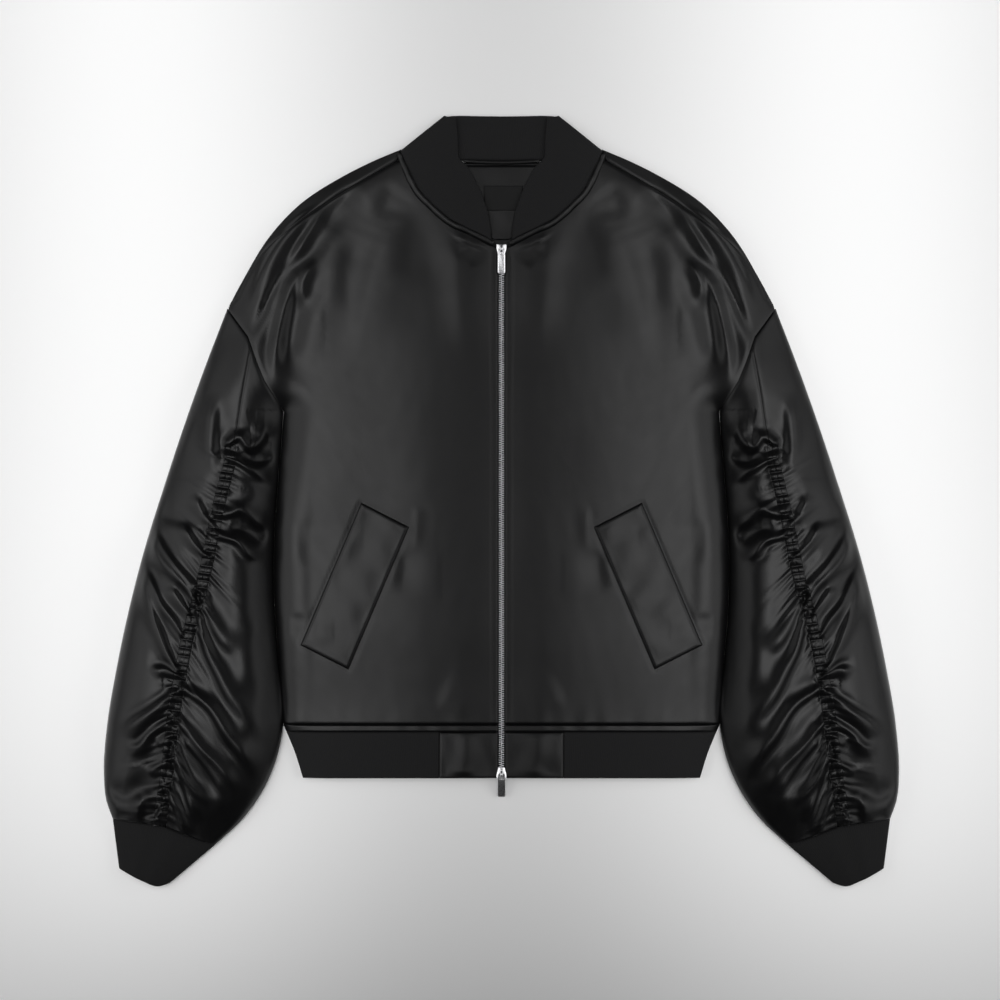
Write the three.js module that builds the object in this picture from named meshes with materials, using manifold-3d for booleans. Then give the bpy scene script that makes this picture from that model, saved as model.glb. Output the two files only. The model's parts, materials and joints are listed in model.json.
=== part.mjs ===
// Satin bomber jacket laid flat on its back with the zip closed, in millimetres.
// The hem is at the -Y end, the collar at the +Y end, and +Z is up from the surface.
// The origin lies on that surface, under the middle of the laid-out jacket.
// Every outline below is given for the +X half. The other half is its mirror image.

import * as THREE from 'three';
import Module from 'manifold-3d';
import { mergeVertices } from 'three/addons/utils/BufferGeometryUtils.js';

const wasm = await Module();
wasm.setup();

// Driving dimensions
const clothWall = 1.8;
const ribWall = 2.4;
const facingWall = 1;
const seamGap = 0.3;
const rollHeight = 5; // height of an edge where the cloth rolls round
const rollInset = 4.5; // how far in from that edge the cloth lies flat again
const bandHalf = 6; // half the width of the gathered sleeve band
const bandTaper = { from: 62, to: 38 }; // where the band grows from the plain seam
const gathersPerSleeve = 48;
const gatherRise = 1.5;
const pipingRadius = 2.6;
const chainHalf = 3;
const zipEdge = chainHalf + 0.6; // fronts end here, beside the chain
const tapeWidth = 11;
const tapeWall = 0.8;
const hemSeam = { bodyEnd: -228.6, pipingFrom: -229, pipingTo: -236, ribFrom: -236.4 };
const hemEnd = -283.6;
const hemTabWidth = 63.5;
const backNeckY = 347.3;
const backNeckHalf = 97;
const weltWall = 1.6;
const weltLift = seamGap + weltWall + 0.15; // face of a welt above the front it lies on
const armholeTop = 196;
const armholeFoot = 90.8;
const armholeUnder = 100; // where the underarm seam starts, under the sleeve
const sleeveStart = 190; // the body's crown turns into the sleeve's from here outwards
const sleeveBlend = 75;
const rollReach = { body: 34, sleeve: 44 }; // from an edge to the full height
const foldFade = 12; // from an edge to the full rise of a fold
const rollTurn = { inset: 1.2, z: 1.4 }; // where the cloth turns under its edge

// Outlines of one half, seen from above
const shoulderEdge = [
  { x: 102.5, y: 359 },
  { x: 131, y: 347 },
  { x: 161, y: 332 },
  { x: 207, y: 302 },
  { x: 237, y: 270 },
  { x: 264, y: 226 },
  { x: 280, y: 196 },
];
const sleeveOuterEdge = [
  { x: 280, y: 196 },
  { x: 304, y: 134 },
  { x: 326, y: 72 },
  { x: 346, y: 11 },
  { x: 365, y: -50 },
  { x: 381, y: -112 },
  { x: 394, y: -174 },
  { x: 403.5, y: -232 },
  { x: 406.5, y: -280 },
  { x: 404, y: -307 },
  { x: 397.5, y: -325 },
];
const sideEdge = [
  { x: 222.4, y: 90.8 },
  { x: 227, y: 35 },
  { x: 232, y: -35 },
  { x: 232.5, y: -95 },
  { x: 228, y: -160 },
  { x: 223, y: -229 },
];
const hemSideEdge = [
  { x: 223, y: -229 },
  { x: 211, y: -258 },
  { x: 203, y: hemEnd },
];
const sleeveInnerEdge = [
  { x: 223.6, y: 90.3 },
  { x: 228.2, y: 35 },
  { x: 233.2, y: -35 },
  { x: 233.7, y: -95 },
  { x: 229.2, y: -160 },
  { x: 224.4, y: -229 },
  { x: 230.5, y: -265 },
  { x: 245, y: -298 },
  { x: 266, y: -327 },
  { x: 293, y: -352 },
];
const armhole = [
  { x: 280, y: 196 },
  { x: 268, y: 180 },
  { x: 258, y: 167 },
  { x: 253, y: 153 },
  { x: 248, y: 139 },
  { x: 241, y: 122 },
  { x: 231.5, y: 106 },
  { x: 223, y: 90.8 },
];
const sleeveSeam = [
  { x: 253.8, y: 158.6 },
  { x: 264, y: 102 },
  { x: 274, y: 45 },
  { x: 287, y: -8 },
  { x: 299.5, y: -70 },
  { x: 318, y: -140 },
  { x: 330.5, y: -208 },
  { x: 338.5, y: -270 },
  { x: 348, y: -331 },
];
const underSeam = [
  { x: 228, y: 100 },
  { x: 243, y: 45 },
  { x: 247, y: -35 },
  { x: 248, y: -100 },
  { x: 244, y: -170 },
  { x: 242, y: -232 },
  { x: 256, y: -285 },
  { x: 304, y: -350 },
];
const cuffSeam = [
  { x: 293, y: -352 },
  { x: 348, y: -331 },
  { x: 397.5, y: -325 },
];
const cuffEnd = [
  { x: 339, y: -391 },
  { x: 351, y: -394 },
  { x: 365, y: -389 },
  { x: 391, y: -376 },
];
const neckline = [
  { x: 99, y: 341 },
  { x: 92, y: 325 },
  { x: 84, y: 312 },
  { x: 74, y: 302 },
  { x: 61.5, y: 290.5 },
  { x: 48.5, y: 281 },
  { x: 33, y: 274.5 },
  { x: 20, y: 268 },
  { x: 8.6, y: 262 },
];
const shoulderSeam = [
  { x: 104, y: 349 },
  { x: 140, y: 328 },
  { x: 179, y: 304 },
  { x: 214, y: 279 },
  { x: 246, y: 250 },
  { x: 262, y: 226 },
  { x: 271, y: 206 },
];

// Height of the laid cloth away from its edges
const bodyHeights = [
  { y: -290, height: 10.5 },
  { y: -229, height: 11.5 },
  { y: -120, height: 16 },
  { y: 60, height: 18 },
  { y: 200, height: 15 },
  { y: 300, height: 12 },
  { y: 360, height: 9 },
];
const sleeveHeights = [
  { y: -400, height: 12 },
  { y: -345, height: 17 },
  { y: -300, height: 26 },
  { y: -220, height: 33 },
  { y: -60, height: 33 },
  { y: 100, height: 27 },
  { y: 200, height: 20 },
];

// Soft folds of the fronts and the upper sleeves, each along a bowed line
const drapes = [
  { x1: 206, y1: 283, x2: 240, y2: 240, x3: 259, y3: 176, rise: 5, spread: 6 },
  { x1: 206, y1: 264, x2: 231, y2: 211, x3: 247, y3: 150, rise: 5, spread: 6 },
  { x1: 192, y1: 250, x2: 222, y2: 187, x3: 232, y3: 108, rise: 6, spread: 7 },
  { x1: 188, y1: 243, x2: 207, y2: 170, x3: 213, y3: 85, rise: -6, spread: 8 },
  { x1: 87, y1: 311, x2: 118, y2: 220, x3: 133, y3: 132, rise: 3, spread: 14 },
  { x1: 142, y1: 290, x2: 172, y2: 235, x3: 184, y3: 175, rise: -3, spread: 12 },
  { x1: 182, y1: 232, x2: 200, y2: 140, x3: 216, y3: 20, rise: 3, spread: 12 },
  { x1: 87, y1: 271, x2: 88, y2: 205, x3: 98, y3: 148, rise: -3, spread: 12 },
  { x1: 66, y1: 266, x2: 44, y2: 220, x3: 36, y3: 160, rise: 3, spread: 12 },
  { x1: 194, y1: -25, x2: 203, y2: -80, x3: 206, y3: -136, rise: -3.5, spread: 8 },
  { x1: 293, y1: 112, x2: 301, y2: 66, x3: 288, y3: 14, rise: 4.5, spread: 9 },
  { x1: 282, y1: 108, x2: 286, y2: 66, x3: 283, y3: 22, rise: -3.5, spread: 6 },
  { x1: 371, y1: -326, x2: 369, y2: -314, x3: 365, y3: -298, rise: 3, spread: 6 },
  { x1: 337, y1: -296, x2: 328, y2: -316, x3: 320, y3: -340, rise: 3, spread: 5 },
];
const zipDip = { depth: 2, spread: 26 };

// Folds across the sleeve. Each runs from a height along the centre seam to a
// height along the panel's edge, and reaches a share of the way there.
const outerFolds = [
  { seam: 158.9, edge: 196, rise: 0, reach: 1 },
  { seam: 128, edge: 165, rise: 0, reach: 1 },
  { seam: 96, edge: 132, rise: 0, reach: 1 },
  { seam: 62, edge: 98, rise: 0, reach: 1 },
  { seam: 38, edge: 64, rise: 1, reach: 1 },
  { seam: 4, edge: 32, rise: -1, reach: 1 },
  { seam: -30, edge: 9, rise: 2.5, reach: 0.6 },
  { seam: -62, edge: -8, rise: -1.5, reach: 0.8 },
  { seam: -84, edge: -20, rise: 5.5, reach: 0.9 },
  { seam: -95, edge: -28, rise: -2, reach: 0.8 },
  { seam: -106, edge: -38, rise: 6, reach: 1 },
  { seam: -119, edge: -49, rise: -2, reach: 0.8 },
  { seam: -132, edge: -61, rise: 5, reach: 0.9 },
  { seam: -150, edge: -72, rise: -2.5, reach: 0.9 },
  { seam: -168, edge: -86, rise: 6.5, reach: 1 },
  { seam: -181, edge: -160, rise: -2.5, reach: 0.8 },
  { seam: -194, edge: -238, rise: 6.5, reach: 1 },
  { seam: -214, edge: -254, rise: -3, reach: 1 },
  { seam: -234, edge: -265, rise: 4.5, reach: 0.6 },
  { seam: -252, edge: -275, rise: -1.5, reach: 0.6 },
  { seam: -268, edge: -284, rise: 4, reach: 0.7 },
  { seam: -285, edge: -295, rise: -5, reach: 1 },
  { seam: -306, edge: -309, rise: 2.5, reach: 0.8 },
  { seam: -330.8, edge: -324.8, rise: 0, reach: 1 },
];
const innerFolds = [
  { seam: 158.3, edge: 90.3, rise: 0, reach: 1 },
  { seam: 125, edge: 82, rise: 0, reach: 1 },
  { seam: 90, edge: 71, rise: -1.5, reach: 1 },
  { seam: 62, edge: 57, rise: 5.5, reach: 0.95 },
  { seam: 50, edge: 34, rise: -3, reach: 1 },
  { seam: 38, edge: 8, rise: 5.5, reach: 0.95 },
  { seam: 10, edge: -14, rise: -2, reach: 1 },
  { seam: -16, edge: -36, rise: 5, reach: 1 },
  { seam: -28, edge: -54, rise: -1.5, reach: 0.8 },
  { seam: -40, edge: -72, rise: 4, reach: 0.7 },
  { seam: -66, edge: -116, rise: -1, reach: 0.9 },
  { seam: -86, edge: -176, rise: 1, reach: 0.6 },
  { seam: -101, edge: -232, rise: 5.5, reach: 0.85 },
  { seam: -109, edge: -244, rise: -1.5, reach: 0.8 },
  { seam: -118, edge: -256, rise: 5, reach: 1 },
  { seam: -158, edge: -277, rise: -2.5, reach: 1 },
  { seam: -193, edge: -296, rise: 6, reach: 1 },
  { seam: -208, edge: -305, rise: -3, reach: 1 },
  { seam: -223, edge: -314, rise: 5.5, reach: 1 },
  { seam: -238, edge: -322, rise: -3, reach: 1 },
  { seam: -253, edge: -330, rise: 5.5, reach: 1 },
  { seam: -275, edge: -337, rise: -3, reach: 1 },
  { seam: -298, edge: -344, rise: 4, reach: 1 },
  { seam: -330.8, edge: -351.6, rise: 0, reach: 1 },
];
const shoulderOfFold = 0.4; // an extra row this share of the way from a crest to a valley
const sleeveAcross = [0, 0.15, 0.35, 0.6, 0.82, 1];

// Pocket welt corners, from the upper outer one round to the lower outer one
const weltCorners = [
  { x: 143, y: -2 },
  { x: 94, y: -27 },
  { x: 156, y: -172.5 },
  { x: 205, y: -147.5 },
];

// Collar stations from the back middle to the zip: the sewn edge, then the free edge
const collarBack = [
  { sewnX: 0, sewnY: 347.8, freeX: 0, freeY: 392 },
  { sewnX: 30, sewnY: 347.8, freeX: 24, freeY: 392.3 },
  { sewnX: 60, sewnY: 348, freeX: 42, freeY: 392.8 },
  { sewnX: 85, sewnY: 349, freeX: 52, freeY: 392.6 },
];
const collarFold = { sewnX: 102, sewnY: 358, freeX: 59, freeY: 393.5 };
const collarFront = [
  { share: 0.02, freeX: 47.5, freeY: 391, freeHeight: 4.2 },
  { share: 0.16, freeX: 45.5, freeY: 372, freeHeight: 4.2 },
  { share: 0.3, freeX: 45, freeY: 350, freeHeight: 4.6 },
  { share: 0.44, freeX: 33, freeY: 338, freeHeight: 5.2 },
  { share: 0.58, freeX: 22, freeY: 315, freeHeight: 6 },
  { share: 0.72, freeX: 14.5, freeY: 293, freeHeight: 7 },
  { share: 0.86, freeX: 12.5, freeY: 279, freeHeight: 8 },
  { share: 0.97, freeX: 11, freeY: 270.5, freeHeight: 8.6 },
];

// Zip hardware
const slider = {
  wideHalf: 4.6,
  wideLength: 7.5,
  noseHalf: 1.7,
  noseLength: 5,
  plate: 1.2,
  axisInset: 1,
  postFrom: 1.8,
};
const arch = { half: 1.2, reach: 3.6, leg: 1.2, opening: 2.7, wall: 1.2 };
const pull = { barHalf: 0.7, ringHalf: 3.4, ringBar: 1.4, window: 5.6, half: 3.8, length: 24 };
const topSlider = { y: 256.5, nose: 1, tilt: 2 };
const bottomSlider = { y: -279.5, nose: -1, tilt: 21 };

// Small numeric helpers
const lerp = (a, b, t) => a + (b - a) * t;
const clamp01 = (t) => Math.min(1, Math.max(0, t));
const smooth = (t) => clamp01(t) ** 2 * (3 - 2 * clamp01(t));
const point = (x, y, z = 0) => new THREE.Vector3(x, y, z);

// A column of a table, blended smoothly over y
function fromTable(rows, y, column) {
  const sorted = [...rows].sort((a, b) => a.y - b.y);
  const last = sorted.length - 1;
  if (y <= sorted[0].y) return sorted[0][column];
  if (y >= sorted[last].y) return sorted[last][column];
  const next = sorted.findIndex((row) => row.y >= y);
  const before = sorted[next - 1];
  const after = sorted[next];
  return lerp(before[column], after[column], smooth((y - before.y) / (after.y - before.y)));
}

// A line of points on the surface, with look-ups by y, by x, by share and by distance
class Line {
  constructor(points) {
    this.points = points;
  }

  static through(rows, steps = 48) {
    const curve = new THREE.CatmullRomCurve3(rows.map((row) => point(row.x, row.y)));
    return new Line(curve.getSpacedPoints(steps));
  }

  static straight(rows) {
    return new Line(rows.map((row) => point(row.x, row.y)));
  }

  // The other coordinate where this one has the given value
  look(axis, other, value) {
    const ends = [this.points[0], this.points.at(-1)].sort((a, b) => a[axis] - b[axis]);
    const wanted = Math.min(ends[1][axis], Math.max(ends[0][axis], value));
    for (let k = 1; k < this.points.length; k += 1) {
      const a = this.points[k - 1];
      const b = this.points[k];
      const inside = (a[axis] - wanted) * (b[axis] - wanted) <= 0;
      if (inside && a[axis] !== b[axis]) {
        return lerp(a[other], b[other], (wanted - a[axis]) / (b[axis] - a[axis]));
      }
    }
    return ends[0][other];
  }

  xAt(y) {
    return this.look('y', 'x', y);
  }

  yAt(x) {
    return this.look('x', 'y', x);
  }

  at(share) {
    const place = clamp01(share) * (this.points.length - 1);
    const k = Math.min(this.points.length - 2, Math.floor(place));
    return this.points[k].clone().lerp(this.points[k + 1], place - k);
  }

  // Parallel line, to the right of the way the line runs
  beside(distance) {
    const moved = this.points.map((here, k) => {
      const before = this.points[Math.max(0, k - 1)];
      const after = this.points[Math.min(this.points.length - 1, k + 1)];
      const along = after.clone().sub(before).normalize();
      return point(here.x + along.y * distance, here.y - along.x * distance);
    });
    return new Line(moved);
  }

  nearest(x, y) {
    let best = { distance: Infinity, share: 0 };
    for (let k = 1; k < this.points.length; k += 1) {
      const a = this.points[k - 1];
      const b = this.points[k];
      const dx = b.x - a.x;
      const dy = b.y - a.y;
      const t = clamp01(((x - a.x) * dx + (y - a.y) * dy) / (dx * dx + dy * dy));
      const distance = Math.hypot(x - a.x - dx * t, y - a.y - dy * t);
      if (distance < best.distance) {
        best = { distance, share: (k - 1 + t) / (this.points.length - 1) };
      }
    }
    return best;
  }
}

const lines = {
  shoulder: Line.through(shoulderEdge),
  outer: Line.through(sleeveOuterEdge),
  side: Line.through(sideEdge),
  hemSide: Line.through(hemSideEdge, 8),
  inner: Line.through(sleeveInnerEdge),
  armhole: Line.straight(armhole),
  seam: Line.through(sleeveSeam),
  under: Line.through(underSeam),
  cuffSeam: Line.straight(cuffSeam),
  cuffEnd: Line.through(cuffEnd, 16),
  neck: Line.through(neckline, 32),
  shoulderSeam: Line.through(shoulderSeam),
};
const rims = [lines.shoulder, lines.outer, lines.side, lines.hemSide, lines.inner];
const drapeLines = drapes.map((fold) => {
  const curve = new THREE.QuadraticBezierCurve3(
    point(fold.x1, fold.y1),
    point(fold.x2, fold.y2),
    point(fold.x3, fold.y3),
  );
  return { ...fold, line: new Line(curve.getSpacedPoints(12)) };
});

// Height of the cloth's upper face: it rises from its rolled edges, and the soft
// folds and the dip along the zip are laid on top
function heightAt(xSigned, y) {
  const x = Math.abs(xSigned);
  const inSleeve = smooth((x - sleeveStart) / sleeveBlend);
  const body = fromTable(bodyHeights, y, 'height');
  const sleeve = fromTable(sleeveHeights, y, 'height');
  const crown = lerp(body, sleeve, inSleeve);
  const reach = lerp(rollReach.body, rollReach.sleeve, inSleeve);
  const edgeDistance = Math.min(...rims.map((rim) => rim.nearest(x, y).distance));
  const inward = clamp01(edgeDistance / reach);
  const roll = Math.sqrt(1 - (1 - inward) ** 2);
  let height = lerp(rollHeight, crown, roll);
  for (const fold of drapeLines) {
    const { distance, share } = fold.line.nearest(x, y);
    const ends = smooth(share / 0.25) * smooth((1 - share) / 0.25);
    const across = Math.exp(-((distance / fold.spread) ** 2));
    height += fold.rise * ends * across * smooth(edgeDistance / foldFade);
  }
  return height - zipDip.depth * Math.exp(-((x / zipDip.spread) ** 2));
}

// A BufferGeometry from points and triangles, turned so that its faces point out
function solid(points, triangles) {
  let volume = 0;
  for (const [a, b, c] of triangles) {
    volume += points[a].dot(points[b].clone().cross(points[c])) / 6;
  }
  const order = volume < 0 ? triangles.map(([a, b, c]) => [a, c, b]) : triangles;
  const geometry = new THREE.BufferGeometry();
  geometry.setAttribute(
    'position',
    new THREE.Float32BufferAttribute(points.flatMap((p) => [p.x, p.y, p.z]), 3),
  );
  geometry.setIndex(order.flat());
  geometry.computeVertexNormals();
  return geometry;
}

function mirrored(geometry) {
  const copy = geometry.clone();
  const place = copy.getAttribute('position');
  for (let k = 0; k < place.count; k += 1) place.setX(k, -place.getX(k));
  const index = copy.getIndex().array;
  const swapped = [];
  for (let k = 0; k < index.length; k += 3) swapped.push(index[k], index[k + 2], index[k + 1]);
  copy.setIndex(swapped);
  copy.computeVertexNormals();
  return copy;
}

// A cloth wall under a grid of points on its outer face. Borders are cut level,
// or upright where lastUpright says so for a row. A ring's rows close on themselves.
function wall(grid, thickness, options = {}) {
  const { flip = false, ring = false, lastUpright = () => false } = options;
  const rowCount = grid.length;
  const columnCount = grid[0].length;
  const level = (v) => point(v.x, v.y, 0);

  // A level direction across a border, on the same side of it as the given step
  function acrossBorder(border, step) {
    const across = point(border.y, -border.x);
    if (across.length() < 0.3 * border.length()) return level(step);
    return across.dot(step) < 0 ? across.negate() : across;
  }

  function alongRows(i, j) {
    const step = grid[Math.min(rowCount - 1, i + 1)][j].clone();
    step.sub(grid[Math.max(0, i - 1)][j]);
    if (i > 0 && i < rowCount - 1) return step;
    const chords = grid[i].map((p) => level(p).sub(level(grid[i][0])));
    const longest = chords.reduce((a, b) => (b.length() > a.length() ? b : a));
    return acrossBorder(longest, step);
  }

  function alongColumns(i, j) {
    const row = grid[i];
    if (ring) {
      const next = row[(j + 1) % columnCount].clone();
      return next.sub(row[(j + columnCount - 1) % columnCount]);
    }
    const step = row[Math.min(columnCount - 1, j + 1)].clone();
    step.sub(row[Math.max(0, j - 1)]);
    if (j > 0 && j < columnCount - 1) return step;
    if (j > 0 && lastUpright(i)) return point(0, 0, -1);
    const border = grid[Math.min(rowCount - 1, i + 1)][j].clone();
    return acrossBorder(border.sub(grid[Math.max(0, i - 1)][j]), step);
  }

  const points = grid.flat().map((p) => p.clone());
  grid.forEach((row, i) => {
    const facing = row.map((_, j) => alongRows(i, j).cross(alongColumns(i, j)).normalize());
    if (!ring && facing.at(-1).dot(facing.at(-2)) < 0) facing.at(-1).negate();
    row.forEach((outer, j) => {
      points.push(outer.clone().addScaledVector(facing[j], flip ? thickness : -thickness));
    });
  });

  const outerAt = (i, j) => i * columnCount + (j % columnCount);
  const innerAt = (i, j) => outerAt(i, j) + rowCount * columnCount;
  const triangles = [];
  const quad = (a, b, c, d) => triangles.push([a, b, c], [a, c, d]);
  const columnQuads = ring ? columnCount : columnCount - 1;
  for (let i = 0; i < rowCount - 1; i += 1) {
    for (let j = 0; j < columnQuads; j += 1) {
      quad(outerAt(i, j), outerAt(i + 1, j), outerAt(i + 1, j + 1), outerAt(i, j + 1));
      quad(innerAt(i, j), innerAt(i, j + 1), innerAt(i + 1, j + 1), innerAt(i + 1, j));
    }
    if (!ring) {
      const j = columnCount - 1;
      quad(outerAt(i + 1, 0), outerAt(i, 0), innerAt(i, 0), innerAt(i + 1, 0));
      quad(outerAt(i, j), outerAt(i + 1, j), innerAt(i + 1, j), innerAt(i, j));
    }
  }
  for (let j = 0; j < columnQuads; j += 1) {
    const i = rowCount - 1;
    quad(outerAt(0, j), outerAt(0, j + 1), innerAt(0, j + 1), innerAt(0, j));
    quad(outerAt(i, j + 1), outerAt(i, j), innerAt(i, j), innerAt(i, j + 1));
  }
  return solid(points, triangles);
}

// A closed body through sections that all have the same number of points
function loft(sections) {
  const count = sections[0].length;
  const points = sections.flat();
  const triangles = [];
  for (let i = 0; i < sections.length - 1; i += 1) {
    for (let j = 0; j < count; j += 1) {
      const a = i * count + j;
      const b = i * count + ((j + 1) % count);
      triangles.push([a, b, b + count], [a, b + count, a + count]);
    }
  }
  const lastStart = (sections.length - 1) * count;
  for (let j = 1; j < count - 1; j += 1) {
    triangles.push([0, j + 1, j], [lastStart, lastStart + j, lastStart + j + 1]);
  }
  return solid(points, triangles);
}

function extruded(outline, low, high, holes = []) {
  const shape = new THREE.Shape(outline.map(([x, y]) => new THREE.Vector2(x, y)));
  shape.holes = holes.map((hole) => new THREE.Path(hole.map(([x, y]) => new THREE.Vector2(x, y))));
  const geometry = new THREE.ExtrudeGeometry(shape, { depth: high - low, bevelEnabled: false });
  geometry.translate(0, 0, low);
  return geometry;
}

function toManifold(geometry) {
  const bare = geometry.clone();
  bare.deleteAttribute('normal');
  bare.deleteAttribute('uv');
  const merged = mergeVertices(bare, 1e-4);
  return new wasm.Manifold(new wasm.Mesh({
    numProp: 3,
    vertProperties: new Float32Array(merged.getAttribute('position').array),
    triVerts: new Uint32Array(merged.getIndex().array),
  }));
}

function joined(geometries) {
  const [first, ...others] = geometries.map(toManifold);
  const mesh = others.reduce((whole, piece) => whole.add(piece), first).getMesh();
  const geometry = new THREE.BufferGeometry();
  geometry.setAttribute('position', new THREE.Float32BufferAttribute(mesh.vertProperties, 3));
  geometry.setIndex([...mesh.triVerts]);
  geometry.computeVertexNormals();
  return geometry;
}

// Fronts
const neckInside = lines.neck.beside(pipingRadius + seamGap);
const neckOutside = lines.neck.beside(-pipingRadius - 2 * seamGap);
const neckRows = [347.5, 338, 325, 312, 300, 289, 279, 271, 264, 257];
const shoulderRows = [240, 223, 206, 200.5];
const armholeRows = [
  ...sleeveAcross.map((share) => lerp(armholeTop, outerFolds[0].seam, share)),
  ...sleeveAcross.map((share) => lerp(innerFolds[0].seam, armholeFoot, share)),
];
const bodyRows = [65, 25, -20, -65, -110, -155, -200, hemSeam.bodyEnd];
const frontRows = [...neckRows, ...shoulderRows, ...armholeRows, ...bodyRows];
const frontAcross = [0, 0.08, 0.22, 0.38, 0.54, 0.67, 0.76, 0.83, 0.89, 0.94, 0.975];

// Where each row of a front ends on its outer side
function frontLimit(y) {
  if (y > 205) return lines.shoulderSeam.xAt(y) - 0.25;
  if (y > armholeTop + 1) return lines.shoulder.xAt(y) - 0.8;
  if (y >= armholeFoot) return lines.armhole.xAt(y) - 0.25;
  return lines.side.xAt(y);
}

function frontGrid() {
  return frontRows.map((y) => {
    const from = y > neckOutside.points.at(-1).y ? neckOutside.xAt(y) : zipEdge;
    const to = frontLimit(y);
    const row = frontAcross.map((share) => {
      const x = lerp(from, to, share);
      return point(x, y, heightAt(x, y));
    });
    if (y < armholeFoot) {
      row.push(point(to - 0.6, y, rollHeight + 0.8), point(to, y, clothWall + seamGap));
    } else {
      const nearEdge = lerp(from, to, 0.992);
      row.push(point(nearEdge, y, heightAt(nearEdge, y)), point(to, y, heightAt(to, y)));
    }
    return row;
  });
}

function makeFront() {
  return wall(frontGrid(), clothWall, { lastUpright: (i) => frontRows[i] < armholeFoot });
}

// Height of the finished front, between the rows and columns of its grid
function frontSurface(grid, x, y) {
  const rowAfter = frontRows.findIndex((rowY) => rowY <= y);
  const rowHeight = (row) => {
    const next = row.findIndex((p) => p.x >= x);
    const t = (x - row[next - 1].x) / (row[next].x - row[next - 1].x);
    return lerp(row[next - 1].z, row[next].z, t);
  };
  const above = frontRows[rowAfter - 1];
  const share = (above - y) / (above - frontRows[rowAfter]);
  return lerp(rowHeight(grid[rowAfter - 1]), rowHeight(grid[rowAfter]), share);
}

function makeWelt() {
  const grid = frontGrid();
  const [upperOuter, upperInner, lowerInner, lowerOuter] = weltCorners;
  const acrossSteps = 3;
  const alongSteps = 9;
  const rows = [];
  for (let i = 0; i <= alongSteps; i += 1) {
    const row = [];
    for (let j = 0; j <= acrossSteps; j += 1) {
      const along = i / alongSteps;
      const across = j / acrossSteps;
      const x = lerp(
        lerp(upperInner.x, lowerInner.x, along),
        lerp(upperOuter.x, lowerOuter.x, along),
        across,
      );
      const y = lerp(
        lerp(upperInner.y, lowerInner.y, along),
        lerp(upperOuter.y, lowerOuter.y, along),
        across,
      );
      row.push(point(x, y, frontSurface(grid, x, y) + weltLift));
    }
    rows.push(row);
  }
  return wall(rows, weltWall);
}

// Back: one flat sheet, with a strip at each shoulder that rolls over to the front
const rollRows = frontRows.filter((y) => y > 205);

function shoulderRoll() {
  const grid = rollRows.map((y, k) => {
    const edge = lines.shoulder.at((k / (rollRows.length - 1)) * 0.94);
    const top = point(lines.shoulderSeam.xAt(y) + 0.25, y);
    const inward = top.clone().sub(edge).normalize();
    const inset = (distance, z) => point(edge.x + inward.x * distance, edge.y + inward.y * distance, z);
    const near = edge.clone().lerp(top, 0.35);
    return [
      point(top.x, top.y, heightAt(top.x, top.y)),
      point(near.x, near.y, heightAt(near.x, near.y)),
      point(edge.x, edge.y, rollHeight),
      inset(rollTurn.inset, rollTurn.z),
      inset(rollInset, 0),
      inset(14, 0),
    ];
  });
  return wall(grid, clothWall);
}

const underShares = [0.53, 1];
const underArmRows = underShares.map((share) => lerp(armholeTop, armholeUnder, share));
const plateInset = 8; // of the flat sheet inside the rolled shoulder

function makeBack() {
  const half = [];
  const plateEdge = lines.shoulder.beside(plateInset);
  half.push([0, backNeckY], [backNeckHalf, backNeckY]);
  for (let k = 1; k <= 8; k += 1) {
    const p = plateEdge.at(lerp(0.04, 0.9, k / 8));
    half.push([p.x, p.y]);
  }
  half.push([lines.armhole.xAt(186) - 0.5, 186]);
  for (const y of underArmRows) half.push([lines.armhole.xAt(y) - 0.5, y]);
  half.push([lines.armhole.xAt(armholeFoot) - 0.4, armholeFoot]);
  for (const y of bodyRows) half.push([lines.side.xAt(y), y]);
  half.push([0, hemSeam.bodyEnd]);
  const other = half.slice(1, -1).reverse().map(([x, y]) => [-x, y]);
  const sheet = extruded([...half, ...other], 0, clothWall);
  const roll = shoulderRoll();
  return joined([sheet, roll, mirrored(roll)]);
}

// Sleeves
const bandShare = (y) => clamp01((bandTaper.from - y) / (bandTaper.from - bandTaper.to));
const seamOffset = (y) => seamGap / 2 + bandHalf * bandShare(y);

// Adds the shoulders of the folds between the rows of a fold table
function foldStations(folds) {
  const stations = [folds[0]];
  for (let k = 1; k < folds.length; k += 1) {
    const before = folds[k - 1];
    const after = folds[k];
    if (Math.abs(before.rise - after.rise) < 3) {
      stations.push(after);
      continue;
    }
    const crestFirst = before.rise > after.rise;
    const place = crestFirst ? shoulderOfFold : 1 - shoulderOfFold;
    const crestward = 0.5 + 0.5 * Math.cos(Math.PI * shoulderOfFold);
    const crest = crestFirst ? before.rise : after.rise;
    const valley = crestFirst ? after.rise : before.rise;
    stations.push({
      seam: lerp(before.seam, after.seam, place),
      edge: lerp(before.edge, after.edge, place),
      rise: lerp(valley, crest, crestward),
      reach: lerp(before.reach, after.reach, place),
    });
    stations.push(after);
  }
  return stations;
}

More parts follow.
